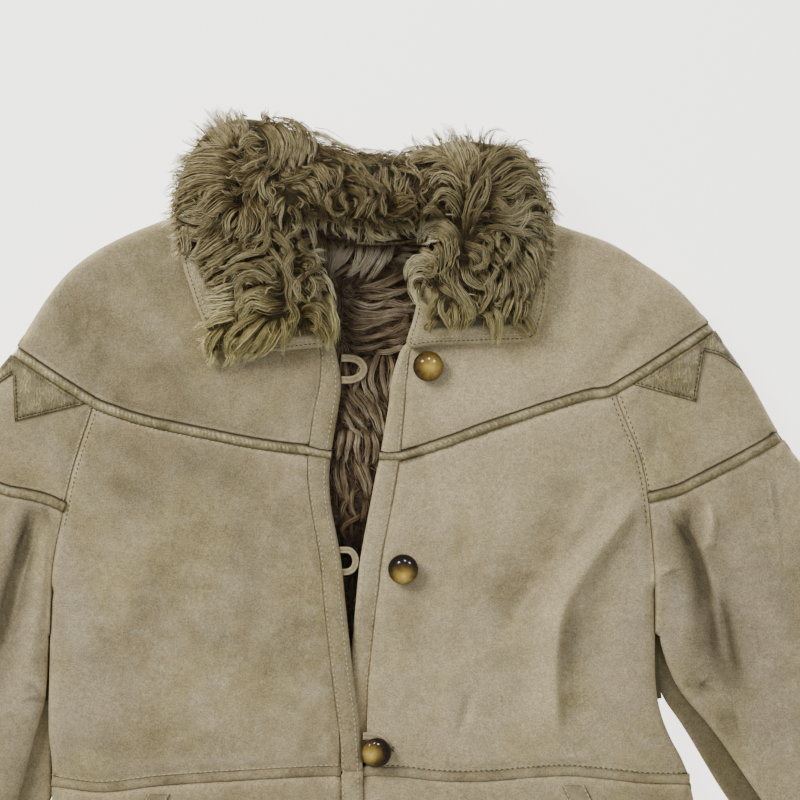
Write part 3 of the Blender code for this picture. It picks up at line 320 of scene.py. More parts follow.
def trimMaterial():
    # Grain side of a thin smooth skin, sewn on flat: finely creased, shinier and darker than the suede round it
    made, tree, surface = newMaterial("creasedTrimLeather", {
        "Roughness": 0.5, "Specular IOR Level": 0.4, "Coat Weight": 0.05, "Coat Roughness": 0.3})
    wide = grain(tree, 18.0, 3.0)
    fold = grain(tree, 12.0, 3.0, 0.6, (2.8, 1.0, 1.0), 0.8)
    colour = ramp(tree, wide, [(0.36, "#6F6545"), (0.5, "#827752"), (0.64, "#978C66")])
    crease = calc(tree, "ABSOLUTE", calc(tree, "SUBTRACT", fold, 0.5), 0.0)
    # thin lines along the creases are painted lighter, as highlights on the wrinkles
    colour = mixColours(tree, "MULTIPLY", 0.85, colour, ramp(tree, crease, [(0.0, 1.95), (0.02, 1.5), (0.055, 0.86), (0.2, 0.98)]))
    # painted shade along the outer edge and the stitch line, over the skin's own mottling
    toneShade = addNode(tree, "ShaderNodeAttribute", {"attribute_name": "toneAndShade"}).outputs["Fac"]
    colour = mixColours(tree, "MIX", calc(tree, "MULTIPLY", toneShade, -1.0, True), colour, srgb("#342C1B"))
    colour = mixColours(tree, "MIX", calc(tree, "MULTIPLY", toneShade, 1.0, True), colour, srgb("#C9C0A2"))
    tree.links.new(colour, surface.inputs["Base Color"])
    first = bump(tree, surface, ramp(tree, crease, [(0.0, 1.0), (0.1, 0.0)]), 0.7, 0.8)
    bump(tree, surface, grain(tree, 1.4, 3.0, 0.7), 0.25, 0.5, first)
    return made


def buttonMaterial():
    # Cast polyester resin, polished: clear depth over an amber eye, burnt brown towards the rim
    made, tree, surface = newMaterial("castResinButton", {
        "Roughness": 0.2, "Specular IOR Level": 0.1, "Coat Weight": 0.8, "Coat Roughness": 0.03, "Coat IOR": 1.42})
    across = addNode(tree, "ShaderNodeAttribute", {"attribute_name": "across"}).outputs["Fac"]
    cloudy = grain(tree, 5.0, 3.0)
    spread = calc(tree, "ADD", across, calc(tree, "MULTIPLY", calc(tree, "SUBTRACT", cloudy, 0.5), 0.42))
    colour = ramp(tree, spread, [(0.0, "#EBCE74"), (0.2, "#C4A551"), (0.42, "#8E7531"), (0.62, "#5C4719"),
                                 (0.8, "#33250E"), (0.96, "#140D05")])
    tree.links.new(colour, surface.inputs["Base Color"])
    return made


def threadMaterial(name, code, rough=0.7):
    # Spun polyester sewing thread: round, dull, slightly fuzzy
    made, tree, surface = newMaterial(name, {"Roughness": rough, "Sheen Weight": 0.15})
    colour = mixColours(tree, "MULTIPLY", 0.5, srgb(code), ramp(tree, grain(tree, 1.2), [(0.3, 0.75), (0.7, 1.1)]))
    tree.links.new(colour, surface.inputs["Base Color"])
    return made


suede = suedeMaterial("brushedSuede", suedeLooks)
suedeStrip = suedeMaterial("brushedSuedeStrip", dict(suedeLooks, dark="#80765A", middle="#9C9070", light="#ACA080"))
suedeFleece = suedeMaterial("suedeAndFleece", suedeLooks, 6.0)
piping = pipingMaterial()
trimLeather = trimMaterial()
resin = buttonMaterial()
paleThread = threadMaterial("suedeThread", "#CDC3A2")
darkThread = threadMaterial("darkThread", "#5A503B")
deepThread = threadMaterial("deepThread", "#3A301D")
blackThread = threadMaterial("blackButtonThread", "#15120F")
print("materials made")


# the cloth's relief

# places in the tables of tones, folds and locks are in steps of 0.85 mm: columns run to the wearer's left,
# rows run down from the collar to the hem
tableGrid = {"step": 0.85, "x0": 362.0, "y0": 634.0, "eye": 3000.0, "midX": 32.5, "midY": 199.0}


def onCoat(columns, rows):
    return ((np.asarray(columns, float) - tableGrid["x0"]) * tableGrid["step"],
            (tableGrid["y0"] - np.asarray(rows, float)) * tableGrid["step"])


heights = {"backTop": 11.0, "frontBase": 11.3, "frontTop": 24.0, "puff": 1.2, "rimDrop": 7.5, "rimWidth": 11.0,
           "seamDrop": 2.2, "seamWidth": 8.0, "bandRise": 1.2, "bandOver": 28.0, "bandUnder": 19.0,
           "lapStart": 40.0, "lapEnd": -5.0, "crown": 5.0}

# a line of three points, its width and its height, below zero for a trough
foldRows = (
    (229, 108, 174, 24, 171, -84, 13, 8.0), (207, 124, 182, 92, 158, 58, 10, 4.5),
    (214, 60, 205, 0, 214, -66, 13, -3.5), (-252, 300, -249, 272, -246, 246, 9, -3.5),
    (238, 318, 226, 313, 219, 312, 8, -3.0), (232, 305, 231, 287, 226, 272, 9, -3.5),
    (254, 268, 236, 245, 207, 219, 10, -4.0), (262, 110, 286, 63, 300, -56, 11, -5.0),
    (290, 131, 299, 105, 296, 78, 9, 5.0), (340, 150, 352, 120, 353, 72, 12, -3.5),
    (251, 43, 258, 50, 266, 56, 8, 3.5), (281, -46, 300, -42, 330, -58, 10, -4.0),
    (330, 42, 372, 2, 436, -22, 15, 4.5), (340, -92, 400, -74, 480, -90, 14, -4.0),
    (412, -186, 470, -170, 540, -186, 16, 3.5), (-352, 108, -330, 60, -338, -10, 11, -5.0),
    (-300, 104, -296, 50, -306, 8, 12, 4.0), (-420, 44, -380, -10, -326, -32, 14, 4.0),
    (-330, -146, -390, -138, -452, -166, 14, -4.0), (-360, -236, -420, -226, -480, -250, 15, 3.5),
    (-236, -14, -196, 20, -164, 96, 20, 3.5), (-246, 66, -222, 40, -206, -30, 14, -3.0),
    (88, 120, 96, 40, 84, -60, 26, 2.5), (84, -48, 90, -58, 83, -86, 7, -2.5),
    (70, -150, 84, -260, 70, -452, 24, 4.0), (-120, -160, -134, -280, -118, -454, 26, 4.0),
    (214, -160, 226, -290, 222, -450, 22, 4.5), (-216, -160, -226, -290, -218, -450, 22, 3.5),
)
# finer creases, pressed in by wear
creaseRows = (
    (88, -47, 91, -58, 83, -88, 3.0, -1.5), (96, -38, 90, -49, 88, -60, 3.5, 0.8),
    (-222, -60, -190, -84, -150, -96, 5.0, -0.9), (-244, 20, -224, 4, -210, -22, 5.0, -1.0),
    (-212, 128, -190, 108, -176, 92, 5.0, -0.9), (-110, 62, -92, 40, -86, 12, 7.0, -0.7),
    (140, 132, 152, 112, 158, 90, 6.0, -0.8), (62, -80, 92, -92, 130, -92, 5.0, -0.7),
    (206, -96, 190, -104, 166, -108, 4.0, 1.0), (-190, 210, -176, 224, -170, 246, 6.0, -0.8),
    (-252, 236, -236, 250, -226, 272, 5.0, -0.9), (196, 226, 212, 244, 222, 262, 4.0, -0.9),
    (300, 204, 318, 196, 330, 182, 5.0, -1.0), (270, 176, 282, 158, 286, 140, 4.0, -1.0),
    (332, 104, 346, 84, 348, 60, 5.0, -1.3), (376, 66, 392, 44, 420, 34, 6.0, -1.1),
    (310, 40, 330, 20, 360, 12, 6.0, 1.2), (348, -40, 380, -34, 410, -44, 6.0, -1.2),
    (-276, 92, -282, 70, -280, 48, 5.0, -1.3), (-318, 92, -320, 66, -316, 40, 5.0, -1.1),
    (-372, 96, -388, 70, -392, 44, 6.0, -1.2), (-408, 70, -420, 44, -438, 30, 6.0, 1.0),
    (-300, -30, -340, -44, -380, -40, 6.0, -1.1), (-320, -86, -366, -96, -410, -88, 7.0, -1.1),
)
pressedRows = (   # sharp creases in table places: width, depth, then places
    (2.6, -2.1, 668, 503, 678, 523, 697, 550, 710, 590, 715, 627, 717, 653), (3.0, 1.5, 674, 500, 684, 520, 703, 548, 716, 588, 721, 625),
    (1.8, -1.2, 683, 690, 692, 686, 702, 685, 714, 691), (1.9, 1.0, 684, 697, 694, 693, 704, 692, 714, 698),
    (2.2, 1.3, 700, 490, 708, 505, 713, 522, 709, 538), (2.4, -1.5, 723, 600, 729, 622, 733, 648, 741, 675), (1.8, -1.0, 733, 704, 737, 722, 743, 742),
    (1.6, -.9, 762, 455, 767, 478, 771, 502, 778, 520), (1.8, -1.0, 28, 512, 20, 545, 10, 580, 0, 612),
    (1.5, -.9, 655, 588, 662, 578, 676, 572, 690, 571), (1.6, .8, 657, 582, 664, 573, 678, 567), (1.5, -1.0, 692, 508, 690, 530, 696, 548),
    (1.4, .9, 703, 500, 709, 520, 707, 545, 700, 556), (1.4, -.9, 713, 498, 719, 520, 716, 548), (1.6, -.9, 704, 560, 712, 590, 722, 618, 726, 650),
    (1.4, .7, 716, 566, 722, 590, 732, 620), (1.5, -.8, 700, 690, 708, 684, 716, 684), (1.4, .7, 700, 684, 710, 677, 720, 678),
    (1.5, -.9, 776, 462, 779, 500, 783, 540, 782, 575), (1.4, .7, 771, 470, 774, 505, 778, 540), (1.5, -.7, 738, 640, 742, 670, 752, 706),
    (1.4, -.8, 30, 505, 26, 530, 12, 556), (1.5, .8, 38, 508, 34, 540, 22, 580, 14, 620), (1.4, -.8, 50, 522, 47, 552, 44, 590),
    (1.5, -.9, 22, 684, 34, 690, 44, 702), (1.4, .7, 20, 676, 34, 681, 46, 690), (1.4, -.8, 18, 706, 30, 700, 44, 706),
    (1.3, -.6, 644, 408, 650, 425, 652, 442), (1.3, -.6, 652, 404, 658, 424, 656, 446), (1.3, .5, 640, 420, 646, 440, 648, 460),
    (1.3, -.6, 88, 300, 90, 318, 84, 336), (1.3, -.6, 226, 382, 236, 396, 244, 410), (1.3, -.5, 470, 560, 490, 566, 520, 566),
    (1.3, -.6, 640, 560, 630, 590, 626, 624), (1.3, -.6, 575, 630, 572, 660, 576, 700), (1.3, .5, 586, 640, 582, 676, 586, 716),
    (1.4, -.6, 660, 446, 664, 462, 660, 480), (1.3, -.5, 300, 560, 304, 590, 300, 630), (1.3, -.5, 110, 690, 130, 700, 160, 702),
)
# right sleeve, then left sleeve: inner and outer edge at each y
sleeveRows = {
    "R": ((262, -215, -280), (241, -219, -297), (197, -229, -333), (156, -242, -364), (125, -251, -391),
          (80, -261, -429), (44, -265, -449), (-5, -268, -464), (-58, -271, -474), (-138, -293, -489),
          (-217, -324, -502), (-298, -357, -515), (-420, -401, -533)),
    "L": ((262, 206, 299), (217, 214, 330), (170, 232, 357), (142, 240, 378), (115, 245, 399), (85, 248, 420),
          (41, 251, 443), (-5, 254, 464), (-47, 270, 495), (-83, 300, 515), (-141, 340, 541), (-202, 385, 571),
          (-267, 432, 601), (-380, 515, 655)),
}


# folds with one steep side, in table places from top to bottom: reach on the wearer's left, on the right, height
steepRows = (
    (2.8, 20.0, 3.4, 640, 500, 608, 543, 586, 574, 564, 606), (6.5, 3.5, -1.6, 645, 508, 613, 551, 591, 581, 570, 611),
    (2.8, 26.0, 4.2, 574, 590, 562, 616, 557, 650, 556, 692, 561, 742), (14.0, 4.0, -2.8, 581, 598, 569, 626, 565, 660, 565, 702, 569, 746),
    (4.5, 24.0, -3.2, 600, 478, 575, 505, 548, 560, 520, 600, 500, 642), (4.0, 12.0, -2.4, 690, 508, 694, 540, 706, 590, 718, 650, 738, 706),
    (6.0, 5.0, 2.6, 706, 504, 713, 530, 707, 552), (5.0, 9.0, -2.2, 684, 508, 688, 530, 700, 548),
    (7.0, 3.5, 1.8, 655, 586, 664, 574, 676, 566), (4.0, 8.0, -2.0, 722, 585, 734, 640, 738, 700),
    (4.0, 9.0, -2.6, 36, 508, 22, 556, 8, 612, -6, 668), (5.0, 8.0, 2.0, 50, 520, 42, 580, 30, 640, 24, 690),
    (3.0, 5.0, -1.2, 24, 686, 36, 694, 46, 706), (3.0, 4.0, -1.3, 22, 706, 34, 701, 46, 703), (2.5, 5.0, -1.0, 646, 505, 652, 528, 654, 552),
    (4.0, 7.0, -1.2, 620, 272, 618, 292, 622, 312), (5.0, 9.0, -1.4, 652, 300, 636, 330, 612, 372), (3.0, 4.0, -0.9, 700, 672, 690, 682, 684, 690),
    (3.0, 5.0, 1.0, 762, 455, 770, 500, 776, 560), (5.0, 12.0, 1.4, 722, 470, 730, 520, 752, 580),
    (6.0, 14.0, -1.4, 470, 500, 462, 540, 440, 600), (5.0, 12.0, 1.1, 440, 690, 470, 660, 520, 640), (4.0, 10.0, -1.0, 110, 470, 150, 500, 200, 520),
    (2.0, 3.0, -0.7, 470, 690, 466, 712, 459, 738), (4.0, 8.0, -0.9, 76, 300, 78, 330, 74, 352), (6.0, 12.0, 1.0, 290, 470, 270, 520, 262, 580),
)
# where the skin is drawn lighter or darker: partly its own mottled tone, partly painted shade along folds and painted
# light where the collar casts its shadow; table place, reach across and along, tone, and how rosy it is
toneRows = (
    (480, 410, 110, 120, .24, 0), (500, 500, 110, 44, .34, 0), (500, 380, 80, 34, .20, 0), (745, 600, 50, 110, 0, .5), (160, 390, 130, 90, -.20, 0), (200, 480, 150, 80, -.14, 0), (740, 620, 90, 150, -.08, .1),
    (100, 300, 70, 60, -.12, 0), (200, 715, 90, 36, .16, 0), (560, 300, 100, 70, .28, 0), (470, 715, 90, 50, .26, 0),
    (725, 440, 50, 50, .20, 0), (384, 590, 12, 130, .30, 0), (560, 440, 90, 60, .12, 0),
    (20, 640, 40, 150, -.10, .1),
    (76, 325, 8, 28, -.22, 0), (176, 262, 14, 28, -.20, 0), (160, 370, 28, 12, -.30, 0), (120, 405, 26, 9, -.22, 0),
    (135, 450, 24, 22, -.26, 0), (190, 460, 26, 18, -.26, .2), (240, 482, 24, 16, -.30, 0), (150, 495, 34, 12, -.18, 0),
    (255, 570, 18, 20, -.30, 0), (158, 585, 26, 30, -.14, 0), (220, 620, 40, 22, -.10, 0), (300, 650, 16, 40, -.10, 0),
    (130, 296, 22, 14, .20, 0), (165, 328, 30, 15, .20, 0), (255, 405, 42, 14, .22, 0), (292, 432, 22, 9, .24, 0),
    (75, 625, 16, 60, .26, .8), (62, 560, 10, 40, .24, .9), (90, 695, 42, 30, .16, .5), (200, 715, 70, 22, .14, .2),
    (105, 550, 18, 24, .16, .4), (62, 740, 12, 30, -.10, .3), (300, 480, 8, 36, .12, 0), (90, 745, 40, 9, -.16, .2),
    (190, 762, 130, 6, .20, .3), (33, 512, 12, 14, -.42, .6), (22, 548, 9, 26, -.42, .7), (8, 596, 10, 34, -.40, .6), (-4, 640, 12, 40, -.36, .5), (46, 514, 4, 12, -.6, .2), (10, 520, 6, 26, .18, .3),
    (564, 290, 19, 56, .42, 0), (610, 285, 50, 40, -.12, 0), (24, 600, 7, 30, -.2, .4),
    (36, 600, 8, 34, .06, 0), (30, 650, 14, 34, .14, .2), (42, 712, 8, 8, -.35, 0), (14, 700, 14, 26, .05, .1),
    (30, 455, 30, 20, .12, .2), (52, 490, 16, 8, .10, .1), (20, 770, 20, 30, -.12, .2), (-40, 600, 30, 70, -.12, .2),
    (620, 290, 6, 16, -.34, 0), (636, 258, 10, 7, -.24, 0), (644, 308, 7, 20, -.26, 0), (602, 370, 16, 12, -.18, 0),
    (482, 392, 32, 12, .25, 0), (540, 330, 28, 22, .20, 0), (512, 362, 26, 12, .14, 0), (562, 262, 16, 16, .16, 0),
    (600, 250, 18, 12, .06, .4), (660, 290, 16, 14, .10, .1), (420, 466, 18, 7, -.22, 0), (452, 520, 12, 16, .14, 0),
    (470, 545, 15, 22, -.14, 0), (556, 502, 15, 22, -.10, 0), (541, 531, 12, 18, -.18, 0), (506, 582, 11, 22, -.18, 0),
    (506, 624, 16, 16, -.16, 0), (430, 640, 32, 20, -.14, 0), (442, 590, 22, 20, .12, 0), (470, 690, 34, 22, .08, 0),
    (577, 640, 9, 28, -.20, .1), (578, 690, 11, 34, -.28, .1), (560, 740, 14, 10, -.16, 0), (592, 612, 8, 18, -.12, .2),
    (602, 500, 8, 9, -.22, 0), (530, 560, 14, 26, .10, 0), (560, 580, 10, 18, .16, 0), (630, 620, 16, 52, .20, .9),
    (640, 560, 9, 42, .20, .9), (622, 705, 26, 30, .08, .6), (530, 722, 22, 14, .10, 0), (450, 742, 60, 9, .10, .1),
    (650, 740, 26, 14, -.06, .2), (500, 440, 50, 16, .12, 0), (560, 430, 24, 18, .10, .1), (600, 440, 16, 18, .10, .2),
    (662, 450, 8, 20, .30, .1), (722, 402, 20, 10, .10, 0), (700, 430, 24, 16, -.05, .1), (666, 512, 8, 26, .16, .9),
    (686, 524, 8, 18, -.34, .2), (692, 552, 9, 9, -.22, .2), (706, 530, 5, 20, .30, 0), (718, 506, 8, 14, .16, 0),
    (702, 590, 10, 30, -.36, .6), (678, 598, 12, 20, .02, 1.), (674, 640, 11, 26, .12, .7), (727, 596, 9, 36, -.27, .1),
    (740, 655, 10, 44, -.22, 0), (702, 560, 12, 40, -.20, .2), (716, 640, 7, 36, -.22, .9), (728, 722, 12, 26, -.40, 0), (702, 690, 12, 5, -.38, .3),
    (762, 520, 20, 40, .08, 0), (786, 600, 14, 60, -.10, .1), (772, 690, 22, 60, .12, .5), (700, 712, 12, 18, -.10, .3),
    (690, 500, 14, 8, -.20, .1), (745, 470, 24, 8, -.16, 0), (800, 740, 20, 60, .05, .3),
    (120, 830, 60, 20, .12, .3), (250, 850, 60, 30, -.12, 0), (150, 960, 70, 40, -.12, .2), (260, 1040, 60, 60, .10, 0),
    (460, 850, 50, 30, .12, .1), (560, 900, 60, 50, -.12, 0), (640, 1020, 50, 60, .12, .4), (450, 1060, 60, 50, -.10, 0),
    (-60, 760, 40, 60, .12, .3), (-120, 860, 40, 60, -.18, .1), (850, 800, 40, 60, -.20, .1), (930, 880, 40, 60, .12, .3),
)


pressedLines = [(width, depth, smoothLine(np.column_stack(onCoat(*np.array(spots, float).reshape(-1, 2).T)), 1.7))
                for width, depth, *spots in pressedRows]


def creasePoints(outline, extra):
    # closer points along the sharp creases that cross a panel
    rows = []
    for width, _, line in pressedLines:
        if insideLoop(line, outline).any():
            across = normalsIn(line)
            across[0], across[-1] = across[1], across[-2]
            rows += [line + across * width * k for k in (-2.1, -1.0, 0.0, 1.0, 2.1)]
    if not rows:
        return extra
    rows = np.vstack(rows)
    away = toSegments(rows, outline, np.roll(outline, -1, 0))[0].min(1)
    rows = rows[insideLoop(rows, outline) & (away > 1.6)]
    apart = np.array([np.hypot(*(rows - p).T).min() for p in extra])
    return np.vstack([extra[apart > 1.3], rows])


def steepRelief(x, y):
    points = np.column_stack([x, y])
    total = np.zeros(len(points))
    for width, depth, line in pressedLines:
        low, high = line.min(0) - 3.0 * width, line.max(0) + 3.0 * width
        near = np.all((points > low) & (points < high), axis=1)
        if near.any():
            away, share = toSegments(points[near], line[:-1], line[1:])
            along = (away.argmin(1) + 0.5) / (len(line) - 1.0)
            total[near] += depth * np.exp(-(away.min(1) / width) ** 2) * np.sin(math.pi * np.clip(along, 0.0, 1.0)) ** 0.6
    for row in steepRows:
        left, right, height = row[:3]
        spots = np.array(row[3:], float).reshape(-1, 2)
        line = smoothLine(np.column_stack(onCoat(spots[:, 0], spots[:, 1])), 5.0)
        away, share = toSegments(points, line[:-1], line[1:])
        near = away.argmin(1)
        t = (near + share[np.arange(len(points)), near]) / (len(line) - 1)
        run, rel = (line[1:] - line[:-1])[near], points - line[near]
        reach = np.where(run[:, 0] * rel[:, 1] - run[:, 1] * rel[:, 0] > 0.0, left, right)
        fade = easeIn(np.clip(t, 0.0, 1.0) / 0.18) * easeIn((1.0 - t) / 0.22)
        total += height * fade * np.exp(-(away.min(1) / reach) ** 2)
    return total


def toneAt(x, y):
    tone, blush = np.zeros(len(x)), np.zeros(len(x))
    for column, row, across, down, lighter, rosy in toneRows:
        midX, midY = onCoat(column, row)
        step = tableGrid["step"]
        share = np.exp(-((x - midX) / (across * step)) ** 2 - ((y - midY) / (down * step)) ** 2)
        tone += lighter * share
        blush += rosy * share
    return tone, blush


def lineRelief(x, y, rows):
    points = np.column_stack([x, y])
    total = np.zeros(len(points))
    for x1, y1, x2, y2, x3, y3, width, height in rows:
        stops = np.array([(x1, y1), (x2, y2), (x3, y3)], float)
        line = smoothLine(stops, 12.0)
        away, share = toSegments(points, line[:-1], line[1:])
        near = away.argmin(1)
        t = (near + share[np.arange(len(points)), near]) / (len(line) - 1)
        ends = 0.3 + 0.7 * np.sin(np.pi * np.clip(t, 0.03, 0.97))
        total += height * ends * np.exp(-(away.min(1) / width) ** 2)
    return total


def sleeveCrown(x, y):
    crown = np.zeros(len(x))
    for side, rows in sleeveRows.items():
        table = np.array(rows[::-1], float)
        inner, outer = np.interp(y, table[:, 0], table[:, 1]), np.interp(y, table[:, 0], table[:, 2])
        t = (x - inner) / (outer - inner)
        crown += np.where((t > 0.0) & (t < 1.0), heights["crown"] * (1.0 - (2.0 * t - 1.0) ** 2), 0.0)
    return crown


def lapped(y):
    # 0 above where the bands part, 1 where the right band lies over the left one
    return 1.0 - easeIn((y - heights["lapEnd"]) / (heights["lapStart"] - heights["lapEnd"]))


def frontHeight(x, y, seamX=-20.0):
    # outer face of the front layer before its edges turn down
    collar = easeIn((y - 210.0) / 25.0) * easeIn((185.0 - abs(x - 5.0)) / 20.0)
    centre = 1.0 - easeIn((abs(x - 8.0) - 40.0) / 25.0)
    free = (1.0 - collar) * (1.0 - centre)
    z = heights["frontTop"] + free * (lineRelief(x, y, foldRows) + sleeveCrown(x, y) + heights["puff"])
    z += free * (lineRelief(x, y, creaseRows) + steepRelief(x, y))
    z += (0.12 + 0.88 * free) * (1.1 * softNoise(x, y, 70.0, 1) + 0.45 * softNoise(x, y, 26.0, 2))
    z += (0.1 + 0.9 * free) * 0.14 * softNoise(x, y, 9.0, 3)
    side = seamX - x
    z += np.where((side > -1.0) & (x < 0.0), 2.2 * lapped(y) * np.exp(-(side / 22.0) ** 2), 0.0)
    return z


# cut panels of suede

panelLooks = {"edgeStep": 3.2, "meet": 0.17, "catch": 3.4, "rings": (0.45, 1.1, 2.2, 3.6, 5.4, 8.0), "cornerTurn": 30.0}
panelGrids = {
    "front_yoke_R": 3.4, "front_yoke_L": 3.4, "front_R": 3.4, "front_L": 2.7, "front_band_R": 3.0,
    "front_band_L": 3.0, "skirt_band_R": 4.0, "skirt_band_L": 4.0, "front_skirt_R": 6.0, "front_skirt_L": 6.0,
    "sleeve_upper_front_R": 3.4, "sleeve_upper_front_L": 3.4, "sleeve_lower_front_R": 5.0,
    "sleeve_lower_front_L": 5.0,
}
panels = {}   # name: outline, runs between corners, kinds of edge and the height rule


def cornersOf(loop):
    before, after = np.roll(loop, 1, 0), np.roll(loop, -1, 0)
    first, second = loop - before, after - loop
    turn = np.degrees(np.arctan2(first[:, 0] * second[:, 1] - first[:, 1] * second[:, 0], (first * second).sum(1)))
    return [k for k in range(len(loop)) if abs(turn[k]) > panelLooks["cornerTurn"]]


def refineOutline(loop, kinds, step):
    # the same outline with smooth curves between its corners
    corners = cornersOf(loop)
    loop = np.roll(loop, -corners[0], 0)
    kinds = np.roll(kinds, -corners[0])
    corners = [k - corners[0] for k in corners] + [len(loop)]
    points, rims, runs = [], [], []
    for a, b in zip(corners, corners[1:]):
        stretch = np.vstack([loop[a:b], loop[b % len(loop)]])
        fine = smoothLine(stretch, step)
        marks = kinds[np.arange(a, b + 1) % len(loop)].astype(float)
        away = np.concatenate([[0.0], np.cumsum(np.linalg.norm(np.diff(stretch, axis=0), axis=1))])
        along = np.concatenate([[0.0], np.cumsum(np.linalg.norm(np.diff(fine, axis=0), axis=1))])
        mark = np.interp(along / along[-1], away / away[-1], marks)
        runs.append(fine)
        points.append(fine[:-1])
        rims.append(mark[:-1])
    return np.vstack(points), np.concatenate(rims), runs


def edgeKinds(name, loop, points):
    # 1 where the edge is an outer rim, 0 where it is sewn to a neighbour
    if "band" in name:
        least = np.full(len(loop), 1e9)
        for other in panelGrids:
            if other[-1] == name[-1] and other != name:
                edge = undersideLoop(other)[0][:, :2]
                least = np.minimum(least, toSegments(loop[:, :2], edge, np.roll(edge, -1, 0))[0].min(1))
        return least > 4.0
    tops = np.array([points[np.hypot(*(points[:, :2] - p[:2]).T) < 0.1][:, 2].max() for p in loop])
    return frontHeight(loop[:, 0], loop[:, 1]) - tops > 4.6


def panelRule(name, outline, rims):
    # a function that gives the panel's outer face at any place
    starts, ends = outline, np.roll(outline, -1, 0)
    isRim = (rims > 0.5) & (np.roll(rims, -1) > 0.5)
    band = "band" in name
    rimWidth = 6.5 if band else heights["rimWidth"]

    def rule(x, y):
        away = toSegments(np.column_stack([x, y]), starts, ends)[0]
        rim = away[:, isRim].min(1) if isRim.any() else np.full(len(x), 1e9)
        seam = away[:, ~isRim].min(1) if (~isRim).any() else np.full(len(x), 1e9)
        roll = 1.0 - np.sqrt(1.0 - (1.0 - np.clip(rim / rimWidth, 0.0, 1.0)) ** 2)
        dip = heights["seamDrop"] * 0.75 * (1.0 - easeIn(seam / heights["seamWidth"]))
        dip += 0.7 * (1.0 - np.sqrt(1.0 - (1.0 - np.clip(seam / 0.9, 0.0, 1.0)) ** 2))
        pucker = 0.42 * softNoise(x, y, 10.0, 11) * np.exp(-seam / 9.0)
        z = frontHeight(x, y)
        if band:
            drop = heights["rimDrop"] * 0.62 * roll + dip
            apart = heights["frontTop"] + heights["bandRise"] * easeIn((215.0 - y) / 20.0)
            closed = heights["bandOver"] if name.endswith("R") else heights["bandUnder"]
            level = apart + (closed - apart) * lapped(y)
            z = level + 0.35 * softNoise(x, y, 22.0, 5) - drop + pucker
        else:
            z = z - heights["rimDrop"] * roll - dip + pucker
        return z, rim, seam
    return rule


def underside(name, y):
    if "band_R" in name:
        return heights["frontBase"] + (heights["bandUnder"] + 0.3 - heights["frontBase"]) * lapped(y)
    return np.full(len(y), heights["frontBase"])


def normalsIn(outline):
    run = np.roll(outline, -1, 0) - np.roll(outline, 1, 0)
    run /= np.maximum(np.linalg.norm(run, axis=1), 1e-9)[:, None]
    return np.column_stack([-run[:, 1], run[:, 0]])


def inwards(outline, distance):
    # the outline moved in, without the places where it would cross itself
    moved = outline + normalsIn(outline) * distance
    away = toSegments(moved, outline, np.roll(outline, -1, 0))[0].min(1)
    return moved[(away > 0.86 * distance) & insideLoop(moved, outline)]


def fillPoints(outline, grid, rings):
    found = [inwards(outline, d) for d in rings]
    low, high = outline.min(0), outline.max(0)
    rise = grid * math.sqrt(3.0) / 2.0
    rows = np.arange(low[1], high[1], rise)
    lattice = np.vstack([np.column_stack([np.arange(low[0] - 0.5 * grid * (j % 2), high[0], grid),
                                          np.full(len(np.arange(low[0] - 0.5 * grid * (j % 2), high[0], grid)), y)])
                         for j, y in enumerate(rows)])
    lattice = lattice[insideLoop(lattice, outline)]
    away = toSegments(lattice, outline, np.roll(outline, -1, 0))[0].min(1)
    found.append(lattice[away > rings[-1] + 0.55 * grid])
    return np.vstack(found)


def triangulate(outline, extra):
    count = len(outline)
    points = [Vector(p) for p in np.vstack([outline, extra]).tolist()]
    loop = [(i, (i + 1) % count) for i in range(count)]
    verts, _, faces, origins, _, _ = delaunay_2d_cdt(points, loop, [], 1, 1e-4)
    place = {}
    for new, old in enumerate(origins):
        if old:
            place[new] = min(old)
    flat = np.vstack([outline, extra])
    kept = []
    for face in faces:
        if all(k in place for k in face):
            a, b, c = (place[k] for k in face[:3])
            first, second = flat[b] - flat[a], flat[c] - flat[a]
            kept.append((a, b, c) if first[0] * second[1] - first[1] * second[0] > 0 else (a, c, b))
    return kept


def closedPanel(name, outline, extra, top, bottom, material, tuck=1.2):
    # the outer face, a rounded wall and a plain underside
    upper = triangulate(outline, extra)
    count = len(outline)
    flat = np.vstack([outline, extra])
    inner = outline + normalsIn(outline) * tuck
    lower = bottom(outline[:, 0], outline[:, 1])
    middle = np.column_stack([outline, 0.45 * top[:count] + 0.55 * lower])
    points = np.vstack([np.column_stack([flat, top]), middle, np.column_stack([inner, lower])])
    start = len(flat)
    faces = list(upper)
    for i in range(count):
        j = (i + 1) % count
        faces.append((i, start + i, start + j, j))
        faces.append((start + i, start + count + i, start + count + j, start + j))
    faces += [tuple(start + count + k for k in face[::-1]) for face in triangulate(inner, np.zeros((0, 2)))]
    return makeObject(name, points, faces, material)


